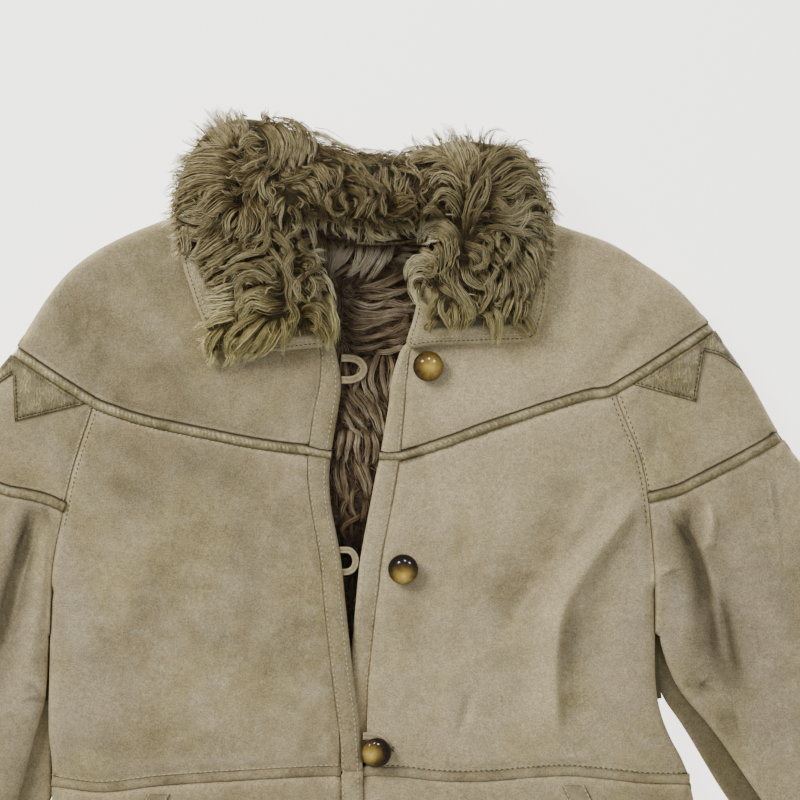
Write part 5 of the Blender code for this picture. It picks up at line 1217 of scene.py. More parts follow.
# each lock: its width, its tone from -1 dark to 1 light, then places from root to tip
locksRight = (
    (8, .5, 240, 146, 226, 130, 214, 118, 205, 109), (8, .5, 246, 143, 235, 127, 225, 115, 216, 106), (7, .4, 252, 140, 243, 126, 236, 115, 230, 107),
    (7, .4, 234, 152, 219, 141, 209, 132, 203, 124), (6, .4, 224, 156, 211, 149, 203, 144, 197, 137), (8, .5, 216, 164, 198, 160, 184, 161, 173, 168),
    (8, .5, 212, 176, 194, 172, 181, 176, 172, 186), (7, .5, 208, 188, 190, 187, 178, 193, 171, 204), (7, .3, 206, 200, 190, 203, 179, 208, 173, 216),
    (9, .5, 234, 151, 226, 132, 218, 119, 213, 106), (8, .5, 234, 149, 230, 132, 227, 118, 232, 107),
    (9, .6, 232, 151, 222, 136, 212, 125, 204, 118), (9, .4, 230, 153, 219, 142, 210, 133, 203, 123),
    (7, .3, 236, 147, 236, 133, 238, 124, 241, 117), (7, .3, 237, 150, 241, 136, 246, 126, 244, 117),
    (8, .5, 233, 150, 225, 134, 221, 122, 221, 112), (3, -.2, 222, 150, 217, 143, 215, 136),
    (3, -.2, 212, 150, 206, 145, 200, 140, 193, 137), (9, .3, 236, 165, 220, 158, 200, 157, 180, 160, 173, 160),
    (10, .2, 236, 170, 218, 164, 200, 163, 184, 167, 171, 171), (10, .3, 236, 177, 216, 172, 196, 172, 181, 179, 169, 186),
    (10, .3, 236, 183, 215, 178, 196, 180, 182, 187, 170, 193), (9, 0, 236, 190, 215, 184, 200, 190, 185, 198, 171, 205),
    (9, .1, 238, 160, 222, 152, 205, 150, 190, 154, 177, 158), (8, -.1, 237, 155, 222, 148, 208, 147, 195, 151),
    (10, .2, 236, 172, 222, 168, 206, 168, 192, 171, 178, 177), (9, .1, 234, 196, 218, 189, 207, 196, 203, 203, 195, 208, 182, 204),
    (9, .2, 238, 200, 225, 196, 214, 204, 203, 213, 190, 213, 179, 208), (9, .2, 240, 205, 226, 203, 215, 212, 203, 221, 190, 220, 178, 216),
    (9, .3, 232, 188, 216, 186, 207, 192, 205, 200, 198, 205), (8, .4, 222, 212, 212, 220, 203, 230, 192, 231, 180, 225),
    (8, .3, 215, 222, 208, 232, 200, 239, 190, 237, 180, 231), (7, .5, 240, 208, 231, 213, 227, 222, 226, 234),
    (8, .2, 246, 204, 243, 215, 241, 226, 234, 236), (10, 0, 246, 198, 252, 210, 256, 222, 250, 234),
    (9, .1, 250, 200, 262, 212, 266, 224, 262, 236, 250, 239), (9, .1, 243, 203, 246, 218, 246, 230, 240, 240),
    (8, .5, 256, 213, 266, 226, 268, 240, 263, 251, 248, 253, 234, 258, 222, 268), (8, .3, 247, 240, 236, 247, 225, 255, 212, 259, 201, 262),
    (8, .4, 234, 235, 222, 243, 211, 250, 199, 256, 187, 259), (9, .5, 223, 229, 215, 238, 205, 246, 197, 253, 186, 258),
    (9, .5, 208, 232, 201, 242, 196, 251, 187, 258), (7, .3, 192, 226, 188, 238, 189, 249, 184, 258),
    (7, .2, 184, 222, 181, 234, 184, 246, 180, 256), (8, .2, 236, 244, 226, 252, 214, 262, 204, 267),
    (8, .5, 268, 263, 255, 267, 243, 265, 232, 269, 220, 279), (9, .4, 286, 289, 272, 283, 262, 275, 250, 272, 238, 277, 230, 290),
    (7, .4, 262, 286, 252, 280, 243, 279, 237, 287, 236, 301), (8, .3, 279, 293, 262, 290, 250, 293, 240, 300, 235, 313),
    (9, .4, 281, 303, 262, 298, 251, 294, 243, 301, 239, 314), (9, .6, 283, 301, 266, 304, 253, 300, 244, 307, 239, 320),
    (8, .5, 284, 307, 268, 309, 254, 303, 246, 310, 241, 323), (9, .7, 240, 284, 228, 286, 216, 289, 206, 292),
    (9, .7, 240, 292, 227, 295, 214, 297, 202, 298), (9, .8, 240, 300, 227, 303, 214, 306, 203, 306),
    (9, .8, 240, 308, 227, 311, 214, 314, 203, 316), (9, .6, 238, 317, 226, 318, 214, 321, 204, 327),
    (8, .3, 236, 272, 226, 276, 216, 281, 207, 284), (7, .2, 226, 262, 216, 268, 208, 273, 203, 279),
    (9, .6, 266, 308, 255, 315, 243, 322, 232, 331, 224, 343), (9, .7, 268, 315, 258, 323, 249, 333, 239, 343, 230, 354),
    (9, .6, 272, 320, 263, 334, 256, 346, 244, 357), (9, .6, 276, 322, 272, 335, 264, 347, 251, 359),
    (8, .5, 262, 322, 267, 332, 262, 343, 256, 354), (8, .5, 283, 322, 277, 335, 269, 348, 259, 357),
    (8, .5, 226, 325, 218, 335, 211, 346, 208, 358), (8, .3, 215, 328, 208, 338, 204, 347, 205, 356),
    (8, .7, 239, 332, 231, 339, 227, 347, 229, 357), (7, .8, 281, 315, 285, 328, 284, 341, 283, 354),
    (8, .2, 290, 310, 292, 321, 290, 332, 287, 343), (8, .7, 256, 330, 248, 340, 240, 350, 236, 358),
    (9, .6, 302, 249, 291, 253, 285, 264, 289, 276, 298, 283), (9, .3, 298, 257, 309, 253, 318, 260, 317, 268, 306, 273),
    (8, .2, 300, 262, 308, 260, 313, 265, 308, 270), (7, .7, 307, 271, 298, 280, 295, 290, 301, 298, 308, 303),
    (7, .5, 308, 271, 314, 281, 316, 290, 309, 299), (7, .4, 315, 269, 326, 277, 332, 288, 335, 299),
    (8, .2, 300, 313, 306, 306, 315, 308, 319, 318, 316, 329, 322, 339), (8, .4, 318, 299, 328, 308, 334, 320, 335, 333, 327, 346),
    (7, .4, 305, 305, 316, 303, 326, 310, 332, 323), (7, .3, 311, 315, 320, 325, 327, 336, 331, 347),
    (8, .3, 322, 290, 330, 300, 333, 312, 330, 324), (8, .2, 286, 300, 292, 306, 296, 316, 294, 326),
    (7, .7, 268, 171, 261, 182, 262, 192, 268, 201), (7, .5, 270, 180, 268, 190, 273, 200, 270, 211),
    (7, .6, 286, 195, 279, 203, 276, 211, 271, 214), (4, .9, 284, 196, 283, 208, 281, 219, 281, 229),
    (9, .5, 290, 204, 297, 212, 300, 222, 296, 232, 287, 237), (7, .4, 302, 215, 308, 224, 313, 234, 314, 246),
    (7, .8, 302, 231, 292, 234, 286, 239, 292, 244), (7, .5, 314, 239, 304, 242, 298, 246, 305, 251),
    (6, .4, 275, 184, 288, 180, 300, 177, 312, 169), (8, .6, 302, 178, 312, 182, 316, 191, 319, 201),
    (7, .2, 290, 188, 298, 186, 306, 190, 310, 196), (8, 0, 268, 226, 278, 236, 286, 246, 290, 256),
    (8, .1, 262, 240, 272, 252, 280, 262, 284, 274), (7, .2, 268, 268, 270, 262, 276, 262, 278, 270),
    (8, 0, 250, 262, 262, 262, 272, 270, 276, 280), (8, -.1, 285, 270, 290, 284, 288, 296, 292, 306),
    (7, .5, 300, 316, 310, 314, 320, 320, 328, 330, 333, 347), (7, .4, 322, 308, 330, 318, 335, 330, 336, 345),
    (6, .6, 316, 322, 323, 330, 327, 340, 327, 350), (6, .3, 326, 300, 333, 310, 337, 320, 338, 334), (6, .2, 306, 326, 314, 328, 320, 336, 319, 347),
)
locksBack = (
    (11, .5, 278, 117, 292, 122, 299, 135, 297, 150, 292, 166), (10, .5, 266, 119, 279, 126, 286, 140, 284, 155, 279, 169),
    (9, .4, 260, 121, 272, 130, 280, 145, 282, 160), (9, .5, 288, 117, 299, 127, 304, 142, 300, 162),
    (9, .6, 274, 121, 287, 133, 292, 148, 289, 163), (9, .3, 254, 121, 266, 127, 274, 138, 275, 150, 271, 160, 265, 169),
    (7, .4, 303, 128, 307, 142, 304, 156, 298, 167), (9, .3, 296, 121, 308, 130, 314, 143, 312, 158),
    (7, .5, 261, 136, 250, 133, 243, 138, 240, 147), (7, .4, 264, 141, 251, 140, 244, 145, 237, 151),
    (5, .3, 247, 121, 244, 130, 241, 139), (7, .4, 264, 149, 254, 143, 247, 145, 252, 153, 263, 158),
    (8, .4, 270, 150, 262, 158, 255, 162, 243, 166), (8, .3, 268, 163, 254, 163, 244, 168, 239, 167),
    (9, .1, 264, 172, 254, 176, 245, 185), (8, .4, 269, 166, 262, 177, 256, 187, 251, 196),
    (6, .4, 266, 121, 263, 114, 265, 110), (5, .3, 270, 119, 266, 115, 268, 111),
    (9, .2, 308, 136, 318, 147, 330, 152, 346, 159, 361, 173), (8, .5, 320, 150, 336, 149, 350, 157, 363, 171),
    (8, .5, 328, 156, 345, 152, 360, 160, 374, 165), (8, .4, 344, 160, 358, 163, 367, 175, 379, 183),
    (9, .1, 352, 158, 370, 156, 385, 157, 400, 161), (7, .7, 309, 161, 318, 170, 324, 180, 326, 190),
    (6, .5, 317, 159, 325, 168, 329, 178, 334, 186), (8, .2, 321, 168, 333, 165, 341, 175, 337, 188),
    (9, .3, 338, 182, 352, 176, 363, 180, 375, 187), (9, .2, 330, 142, 344, 146, 358, 151, 372, 158),
    (9, .2, 312, 131, 326, 136, 338, 143, 350, 150), (8, .1, 360, 150, 374, 152, 388, 154, 402, 158),
    (7, .5, 336, 188, 328, 197, 330, 208, 338, 215, 347, 209), (6, .3, 347, 189, 342, 199, 347, 208),
    (9, .1, 344, 186, 354, 190, 362, 196, 360, 206), (6, .2, 371, 167, 366, 175, 371, 184),
    (8, .6, 384, 161, 384, 172, 386, 181, 391, 189), (6, .6, 378, 169, 375, 180, 379, 192),
    (5, .4, 390, 164, 396, 170, 401, 177), (6, .8, 399, 171, 396, 180, 396, 190), (6, .7, 405, 174, 402, 184, 399, 192),
    (7, .3, 413, 177, 408, 186, 412, 193, 417, 198), (6, .7, 373, 191, 366, 200, 360, 209, 355, 216),
    (6, .7, 380, 197, 373, 206, 368, 216), (6, .3, 387, 193, 382, 202, 384, 212), (6, .6, 393, 201, 402, 198, 412, 195),
    (6, .5, 395, 207, 404, 204, 414, 199), (6, .5, 396, 213, 406, 209, 413, 205, 418, 200), (6, .3, 350, 212, 347, 222, 352, 232, 358, 238),
    (6, .4, 345, 218, 348, 228, 354, 238), (8, .2, 366, 222, 370, 232, 380, 237, 392, 238), (7, .1, 330, 214, 340, 222, 344, 232),
    (6, .6, 404, 159, 412, 165, 418, 173, 425, 182), (6, .6, 396, 166, 404, 168, 414, 173), (6, -.2, 400, 220, 410, 226, 416, 236),
    (7, -.2, 320, 206, 324, 218, 320, 228), (6, -.1, 378, 214, 384, 224, 396, 229), (6, .1, 420, 190, 414, 200, 418, 210),
)
locksLeft = (
    (9, .3, 453, 166, 436, 156, 418, 153, 399, 159), (9, .2, 452, 159, 436, 149, 420, 147, 402, 151),
    (9, .1, 459, 175, 448, 162, 436, 158, 422, 161), (9, .2, 463, 182, 456, 169, 446, 163, 434, 165),
    (9, .3, 464, 190, 460, 175, 454, 162, 446, 149, 439, 134), (9, .5, 466, 188, 463, 172, 457, 155, 450, 141, 443, 129),
    (9, .4, 468, 185, 468, 168, 463, 152, 456, 139, 452, 126), (8, .2, 471, 181, 472, 165, 470, 150, 462, 137),
    (8, .3, 474, 179, 478, 165, 477, 152, 470, 143), (3, -.1, 419, 149, 415, 143, 412, 135), (3, -.1, 440, 139, 436, 134, 433, 128),
    (9, .1, 440, 163, 430, 157, 416, 158, 408, 164), (8, .0, 446, 172, 436, 168, 428, 172, 424, 180),
    (10, .6, 464, 201, 458, 185, 450, 176, 442, 174, 434, 178, 430, 187), (10, .5, 463, 211, 458, 199, 450, 192, 442, 191, 436, 196, 434, 203),
    (9, .2, 462, 219, 455, 208, 449, 200, 441, 197), (7, .6, 447, 221, 440, 212, 432, 207, 425, 208, 421, 214),
    (11, .6, 462, 250, 458, 236, 448, 224, 436, 220, 426, 223, 419, 232, 418, 242), (9, .5, 455, 246, 448, 234, 438, 228, 428, 231, 423, 240),
    (8, .3, 450, 252, 446, 241, 438, 234, 430, 238, 428, 246), (7, .5, 440, 229, 447, 240, 448, 252, 446, 264),
    (7, .3, 432, 240, 440, 246, 442, 256, 440, 266), (8, .2, 456, 246, 453, 258, 450, 268),
    (11, .5, 441, 276, 436, 262, 426, 257, 414, 260, 408, 268, 406, 278), (9, .3, 437, 281, 430, 270, 420, 266, 412, 270, 409, 279),
    (8, .2, 432, 286, 426, 278, 418, 276, 412, 283, 414, 291), (6, .9, 409, 279, 413, 292, 419, 301, 427, 307, 433, 304),
    (8, .5, 420, 283, 416, 294, 420, 303, 429, 309), (8, .1, 434, 286, 436, 296, 432, 306, 426, 312),
    (9, .3, 466, 236, 467, 216, 470, 200, 478, 185, 487, 170), (8, .6, 470, 231, 474, 213, 482, 200, 487, 185, 486, 168),
    (8, .4, 466, 202, 467, 186, 468, 172, 473, 160), (8, .3, 468, 181, 470, 168, 478, 158, 490, 150),
    (10, .2, 472, 191, 480, 175, 490, 162, 500, 150, 510, 144, 521, 147, 529, 158), (9, .2, 476, 186, 488, 170, 500, 158, 512, 152, 524, 156, 533, 168),
    (10, .3, 480, 190, 492, 178, 505, 168, 518, 162, 532, 166, 541, 180), (9, .3, 478, 191, 490, 186, 503, 184, 512, 176, 523, 172, 535, 173, 542, 184),
    (9, .4, 482, 196, 495, 191, 506, 193, 516, 186, 527, 178, 540, 186, 547, 198), (8, .6, 484, 199, 497, 197, 503, 205, 511, 210, 519, 204, 525, 191),
    (8, .3, 482, 205, 494, 201, 501, 208, 511, 214, 521, 208, 529, 198), (9, .4, 480, 212, 495, 212, 510, 216, 522, 210, 531, 201, 542, 201, 550, 211),
    (9, .3, 485, 220, 500, 218, 515, 222, 528, 216, 541, 214, 553, 221), (8, .8, 528, 200, 528, 210, 526, 220, 518, 230),
    (9, .2, 480, 228, 495, 226, 510, 228, 525, 232, 541, 236), (3, .0, 484, 153, 484, 140, 488, 131, 496, 128, 504, 129, 510, 132),
    (9, .2, 530, 186, 540, 190, 547, 200, 551, 212), (9, .3, 520, 222, 534, 222, 545, 228, 549, 238),
    (6, .7, 501, 227, 498, 238, 500, 248), (7, .6, 505, 228, 514, 234, 517, 244, 512, 254, 505, 263),
    (8, .5, 462, 240, 474, 246, 484, 248, 488, 258, 484, 266, 474, 268, 469, 265), (7, .2, 474, 238, 484, 234, 491, 240, 493, 250),
    (7, .1, 468, 252, 476, 256, 480, 262), (8, .4, 530, 234, 540, 245, 544, 257, 545, 268), (9, .4, 522, 240, 535, 250, 540, 262, 542, 277),
    (9, .3, 520, 248, 530, 262, 536, 275, 539, 288), (9, .3, 516, 258, 526, 270, 531, 282, 532, 294),
    (8, .4, 512, 261, 520, 275, 526, 288, 524, 300), (8, .5, 510, 262, 514, 276, 518, 290, 516, 304),
    (8, .7, 507, 264, 508, 280, 506, 292, 499, 303), (5, .8, 504, 261, 496, 273, 488, 286), (6, .8, 504, 276, 500, 288, 495, 300),
    (8, .7, 512, 290, 510, 302, 506, 312, 505, 322), (8, .7, 518, 292, 520, 304, 517, 316, 515, 325), (7, .4, 524, 298, 526, 309, 522, 319),
    (8, .8, 466, 263, 466, 275, 473, 284, 484, 288), (11, .7, 458, 267, 456, 280, 462, 292, 470, 302, 474, 315, 468, 328),
    (9, .3, 477, 271, 486, 280, 490, 292, 485, 304, 478, 314), (8, .3, 486, 268, 494, 280, 494, 292, 488, 302),
    (9, .8, 489, 303, 497, 311, 501, 322, 501, 334, 499, 345), (8, .7, 485, 308, 492, 318, 495, 330, 493, 343),
    (7, .5, 480, 310, 488, 315, 491, 327), (8, .8, 446, 294, 440, 305, 443, 316, 450, 328), (8, .9, 452, 301, 456, 312, 456, 322, 452, 333),
    (8, .6, 462, 296, 466, 308, 466, 320, 461, 331), (8, .1, 442, 298, 433, 309, 428, 321), (7, -.3, 440, 316, 431, 326, 430, 333),
    (7, .2, 520, 311, 528, 319, 534, 330, 536, 339), (7, .1, 512, 317, 521, 328, 528, 339), (7, .1, 541, 268, 541, 283, 538, 299),
    (8, .2, 498, 244, 508, 252, 514, 262), (8, .1, 492, 250, 500, 258, 504, 268), (8, .3, 448, 262, 446, 274, 450, 284),
    (8, .2, 440, 284, 448, 290, 455, 296), (8, -.1, 458, 232, 455, 240, 456, 252), (8, .1, 420, 248, 428, 252, 438, 256),
)


# each strand leaves its root in the skin and ends in a tip, with the others of its lock round one middle line
furLooks = {"handSteps": 8, "handStrands": 2.9, "underSteps": 6, "underStrands": 9, "underGap": 6.9,
            "underLength": (20.0, 31.0), "radius": 0.32, "tipRadius": 0.06, "flat": 0.55, "twist": 0.8,
            "wave": 0.55, "waveLength": 13.0, "sides": 3, "hide": 2.4, "seed": 311}
liningLooks = dict(furLooks, handStrands=4.3, underGap=5.6, underLength=(12.0, 20.0), radius=0.25, wave=0.4, seed=411)
# loose curls over the fleece, and tips that stand out past its edge
wispLooks = {"gap": 9.8, "strands": 5, "steps": 5, "length": (9.0, 17.0), "width": (2.0, 4.5), "lift": 0.6}
fringeLooks = {"spacing": 4.2, "inside": 8.0, "length": (12.0, 21.0), "width": (2.5, 6.5), "lean": 0.9, "strands": 7}
# where the fleece is drawn lighter or darker: table place, reach across and along, how much lighter
furTones = (
    (242, 205, 26, 34, -.06), (530, 232, 18, 48, .18), (225, 308, 26, 26, .16), (450, 140, 30, 16, .08),
    (485, 300, 40, 22, .06), (385, 190, 50, 34, -.10), (420, 205, 16, 26, -.10), (300, 230, 20, 40, -.02), (365, 258, 26, 14, -.04),
)


def evenly(line, count):
    # places at even distances along a line
    along = np.concatenate([[0.0], np.cumsum(np.linalg.norm(np.diff(line, axis=0), axis=1))])
    marks = np.linspace(0.0, along[-1], count)
    return np.column_stack([np.interp(marks, along, line[:, k]) for k in range(line.shape[1])])


def handGuide(row, height, steps, rise):
    # the middle line of a lock from its row in a table: places in table steps, heights over a surface
    width, tone, spots = row[0], row[1], np.array(row[2:], float).reshape(-1, 2)
    spots = np.vstack([spots, spots[-1] + 0.25 * (spots[-1] - spots[-2])])   # its last wisps reach further
    line = evenly(smoothLine(spots, 2.0), steps)
    x, y = placeOf(line[:, 0], line[:, 1], 24.0)
    level = height(x, y)
    x, y = placeOf(line[:, 0], line[:, 1], level)
    t = np.linspace(0.0, 1.0, steps)
    z = level + np.interp(t, (0.0, 0.25, 0.6, 1.0), rise) + 1.6 * tone
    return np.column_stack([x, y, z]), width * tableGrid["step"], tone


def furTone(x, y):
    columns, rows = tableGrid["x0"] + x / tableGrid["step"], tableGrid["y0"] - y / tableGrid["step"]
    return sum(gain * np.exp(-((columns - column) / across) ** 2 - ((rows - row) / down) ** 2)
               for column, row, across, down, gain in furTones)


def lockStrands(guide, width, count, steps, dice, looks):
    # strands of one lock: spread in its middle, gathered at the tip, turning slowly round it
    t = np.linspace(0.0, 1.0, len(guide))
    run = np.gradient(guide[:, :2], axis=0)
    run /= np.maximum(np.linalg.norm(run, axis=1), 1e-6)[:, None]
    length = np.linalg.norm(np.diff(guide, axis=0), axis=1).sum()
    reach = np.sqrt(dice.uniform(0.0, 1.0, (count, 1)))
    stray = dice.uniform(0.0, 1.0, (count, 1)) < 0.07
    reach = np.where(stray, 1.55, reach)
    first, last = dice.uniform(0.0, 0.12, (count, 1)), dice.uniform(0.80, 1.0, (count, 1))
    u = first + (last - first) * np.linspace(0.0, 1.0, steps)[None]
    turn = dice.uniform(0.0, 2.0 * math.pi, (count, 1)) + dice.normal(0.0, looks["twist"]) * u
    spread = np.sin(math.pi * (0.13 + 0.84 * u)) ** 0.6 * width / 2.0
    wave = looks["wave"] * np.sin(2.0 * math.pi * u * length / looks["waveLength"]
                                  + dice.uniform(0.0, 6.28) + dice.normal(0.0, 0.5, (count, 1)))
    across = reach * np.cos(turn) * spread + wave * (0.3 + 0.7 * u)
    above = reach * np.sin(turn) * spread * looks["flat"]
    at = [np.interp(u, t, guide[:, k]) for k in range(3)]
    sideX, sideY = np.interp(u, t, -run[:, 1]), np.interp(u, t, run[:, 0])
    points = np.stack([at[0] + sideX * across, at[1] + sideY * across, at[2] + above], 2)
    lit = reach * np.sin(turn)
    return points, u, lit


def gatherLocks(guides, looks, steps, strandsFor, shadeShift, dice, floorAt):
    # every lock's strands with their thickness, shade and tint, ready for one mesh
    found = {"points": [], "thin": [], "shade": [], "tint": []}
    for guide, width, tone in guides:
        count = max(3, int(round(strandsFor(width))))
        points, u, lit = lockStrands(guide, width, count, steps, dice, looks)
        points[:, :, 2] = np.maximum(points[:, :, 2], floorAt(points[:, :, 0], points[:, :, 1]))
        ends = np.linspace(0.0, 1.0, steps)[None]
        radius = looks["radius"] * (1.0 - (1.0 - looks["tipRadius"] / looks["radius"]) * ends ** 2.2)
        # darker at the root, lighter to the tip: the fleece's own bleached tips together with painted shade deep among
        # the locks
        shade = 0.20 + 0.34 * easeIn(u / 0.38) + 0.18 * easeIn((u - 0.45) / 0.5) + 0.15 * tone
        shade = shade + furTone(points[:, :, 0], points[:, :, 1])
        tint = np.clip((300.0 - points[:, :, 1]) / 40.0, 0.0, 1.0) * 0.6 + dice.uniform(0.0, 0.3, (count, 1))
        # painted light on the strands that lie high in a lock, painted shade on the low ones
        shade = shade + 0.09 * lit + dice.normal(0.0, 0.075, (count, 1)) + shadeShift + 0.10 * tint
        found["points"].append(points)
        found["thin"].append(radius * dice.uniform(0.65, 1.25, (count, 1)))
        found["shade"].append(shade)
        found["tint"].append(tint)
    return {key: np.concatenate(value) for key, value in found.items()}


def tubeTree(name, material, sides):
    # sweeps a small round section along every strand, as thick as its "thin" value says
    tree = bpy.data.node_groups.new(name, "GeometryNodeTree")
    tree.interface.new_socket("Geometry", in_out="INPUT", socket_type="NodeSocketGeometry")
    section = tree.interface.new_socket("Section radius", in_out="INPUT", socket_type="NodeSocketFloat")
    tree.interface.new_socket("Geometry", in_out="OUTPUT", socket_type="NodeSocketGeometry")
    start = addNode(tree, "NodeGroupInput")
    curve = addNode(tree, "GeometryNodeMeshToCurve", links={"Mesh": start.outputs[0]})
    circle = addNode(tree, "GeometryNodeCurvePrimitiveCircle", {"Resolution": sides},
                     {"Radius": start.outputs["Section radius"]})
    thin = addNode(tree, "GeometryNodeInputNamedAttribute", {"data_type": "FLOAT", "Name": "thin"})
    sweep = addNode(tree, "GeometryNodeCurveToMesh", {"Fill Caps": True},
                    {"Curve": curve.outputs[0], "Profile Curve": circle.outputs[0], "Scale": thin.outputs[0]})
    smooth = addNode(tree, "GeometryNodeSetShadeSmooth", links={"Geometry": sweep.outputs[0]})
    plain = addNode(tree, "GeometryNodeRealizeInstances", links={"Geometry": smooth.outputs[0]})
    coated = addNode(tree, "GeometryNodeSetMaterial", {"Material": material}, {"Geometry": plain.outputs[0]})
    addNode(tree, "NodeGroupOutput", links={0: coated.outputs[0]})
    return tree, section.identifier


def bakeNodes(name, obj, tree, settings, material):
    # the evaluated result of a node tree as a plain mesh object
    modifier = obj.modifiers.new("maker", "NODES")
    modifier.node_group = tree
    for key, value in settings.items():
        modifier[key] = value
    seen = obj.evaluated_get(bpy.context.evaluated_depsgraph_get())
    mesh = bpy.data.meshes.new_from_object(seen)
    mesh.name = name
    bpy.data.objects.remove(obj)
    made = bpy.data.objects.new(name, mesh)
    bpy.context.scene.collection.objects.link(made)
    if not mesh.materials:
        mesh.materials.append(material)
    return made


def growStrands(name, locks, material, looks):
    points = locks["points"]
    count, steps = points.shape[:2]
    first = np.arange(count * steps).reshape(count, steps)
    edges = np.stack([first[:, :-1], first[:, 1:]], 2).reshape(-1, 2)
    mesh = bpy.data.meshes.new(name + "_lines")
    mesh.from_pydata((points.reshape(-1, 3) * mm).tolist(), edges.tolist(), [])
    obj = bpy.data.objects.new(name + "_lines", mesh)
    bpy.context.scene.collection.objects.link(obj)
    for key in ("thin", "shade", "tint"):
        setValues(obj, key, np.broadcast_to(locks[key], (count, steps)).reshape(-1))
    tree, radiusInput = tubeTree(name + "_sweep", material, looks["sides"])
    piece = bakeNodes(name, obj, tree, {radiusInput: mm}, material)
    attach(piece, "root")
    print(name, count, "strands,", sum(len(p.vertices) - 2 for p in piece.data.polygons), "triangles")
    return piece


def flowField(guides):
    # which way the hair lies at any place, from the listed locks
    spots = np.vstack([g[:-1, :2] for g, _, _ in guides])
    runs = np.vstack([np.diff(g[:, :2], axis=0) for g, _, _ in guides])
    runs /= np.maximum(np.linalg.norm(runs, axis=1), 1e-6)[:, None]

    def flow(x, y):
        weight = 1.0 / ((spots[:, 0] - x) ** 2 + (spots[:, 1] - y) ** 2 + 12.0) ** 2
        way = (runs * weight[:, None]).sum(0)
        return way / max(np.linalg.norm(way), 1e-6)
    return flow


def scatterRoots(outline, gap, dice):
    low, high = outline.min(0), outline.max(0)
    columns, rows = np.meshgrid(np.arange(low[0], high[0], gap), np.arange(low[1], high[1], gap * 0.87))
    columns[1::2] += gap / 2.0
    roots = np.column_stack([columns.ravel(), rows.ravel()]) + dice.uniform(-0.35, 0.35, (columns.size, 2)) * gap
    return roots[insideLoop(roots, outline)]


def underGuides(roots, flow, height, keepIn, looks, dice, depth, curl):
    # shorter locks that follow the same flow, each cut off where the fleece ends
    guides = []
    steps = 6
    for x, y in roots:
        length = dice.uniform(*looks["underLength"])
        bend, swing = dice.normal(0.0, curl), dice.uniform(0.5, 1.0) * dice.choice((-1.0, 1.0))
        start, tone = dice.uniform(-1.0, 1.0), dice.normal(0.05, 0.35)
        spots, turned = [(x, y)], dice.normal(0.0, 0.35)
        for k in range(steps):
            way = flow(*spots[-1])
            angle = turned + bend * (k / steps - 0.3) + 0.55 * swing * math.sin(2.0 * math.pi * (k / steps + 0.1 * start))
            c, s = math.cos(angle), math.sin(angle)
            step = length / steps
            spots.append((spots[-1][0] + step * (c * way[0] - s * way[1]), spots[-1][1] + step * (s * way[0] + c * way[1])))
            if not keepIn(*spots[-1]):
                spots.pop()
                break
        if len(spots) < 4:
            continue
        line = evenly(np.array(spots), steps + 1)
        t = np.linspace(0.0, 1.0, steps + 1)
        z = height(line[:, 0], line[:, 1]) + depth[0] + depth[1] * start + np.interp(t, (0.0, 0.35, 0.7, 1.0), depth[2:])
        guides.append((np.column_stack([line, z]), dice.uniform(6.0, 9.0), tone))
    return guides


def furMaterial(name, looks):
    # Sheep's fleece: fine crimped wool, grey-brown at the skin and drawn darker there as painted shade among the locks,
    # bleached at the tips, with a dry silky gloss
    made, tree, surface = newMaterial(name, {"Roughness": 0.56, "Specular IOR Level": 0.3,
                                             "Sheen Weight": 0.1, "Sheen Roughness": 0.4})
    surface.inputs["Sheen Tint"].default_value = srgb("#E4D3A8")
    shade = addNode(tree, "ShaderNodeAttribute", {"attribute_name": "shade"}).outputs["Fac"]
    tint = addNode(tree, "ShaderNodeAttribute", {"attribute_name": "tint"}).outputs["Fac"]
    uneven = calc(tree, "MULTIPLY", calc(tree, "SUBTRACT", grain(tree, 9.0, 2.0), 0.5), 0.35)
    colour = ramp(tree, calc(tree, "ADD", shade, uneven), looks["ramp"])
    colour = mixColours(tree, "MIX", calc(tree, "MULTIPLY", tint, looks["tintShare"], True), colour,
                        mixColours(tree, "MULTIPLY", 1.0, colour, srgb(looks["tint"])))
    tree.links.new(colour, surface.inputs["Base Color"])
    return made


collarWool = furMaterial("khakiSheepskinWool", {
    "ramp": [(0.05, "#1D1306"), (0.28, "#493A1E"), (0.48, "#756543"), (0.66, "#998D67"), (0.84, "#BEB38F"),
             (1.0, "#DED6B4")], "tint": "#FDFAC2", "tintShare": 0.9})
liningWool = furMaterial("brownSheepskinWool", {
    "ramp": [(0.05, "#150D05"), (0.28, "#382817"), (0.48, "#655138"), (0.66, "#877459"), (0.84, "#B0A085"),
             (1.0, "#DACFB6")], "tint": "#FFF6E6", "tintShare": 0.5})


def overCloth(x, y):
    # strands that reach past the collar lie on the yoke
    inside = insideLoop(np.column_stack([np.ravel(x), np.ravel(y)]), collarEdge[::3]).reshape(np.shape(x))
    return np.where(inside, 0.0, heights["frontTop"] + 3.2)


def wearsFleece(x, y):
    # how far the fleece reaches: it leaves a bare margin of leather round the lower parts of the collar
    spot = np.array([(x, y)])
    away = toSegments(spot, collarEdge, np.roll(collarEdge, -1, 0))[0].min()
    signed = away if insideLoop(spot, collarEdge)[0] else -away
    return signed > bareMargin(x, y)


def shortOfMargin(guide):
    # a lock on the right leaf ends where its bare margin begins
    line, width, tone = guide
    away = toSegments(line[:, :2], collarEdge, np.roll(collarEdge, -1, 0))[0].min(1)
    over = (away < 0.62 * bareMargin(line[:, 0], line[:, 1])) & (line[:, 0] < -112.0) & (line[:, 1] > 264.0)
    first = np.argmax(over) if over.any() else len(line)
    return (evenly(line[:max(first, 4)], len(line)), width, tone)


def brightenTips(locks):
    # what lies out past the collar's edge is drawn lighter
    points = locks["points"]
    locks["shade"] = locks["shade"] + 0.24 * (overCloth(points[:, :, 0], points[:, :, 1]) > 0.0)


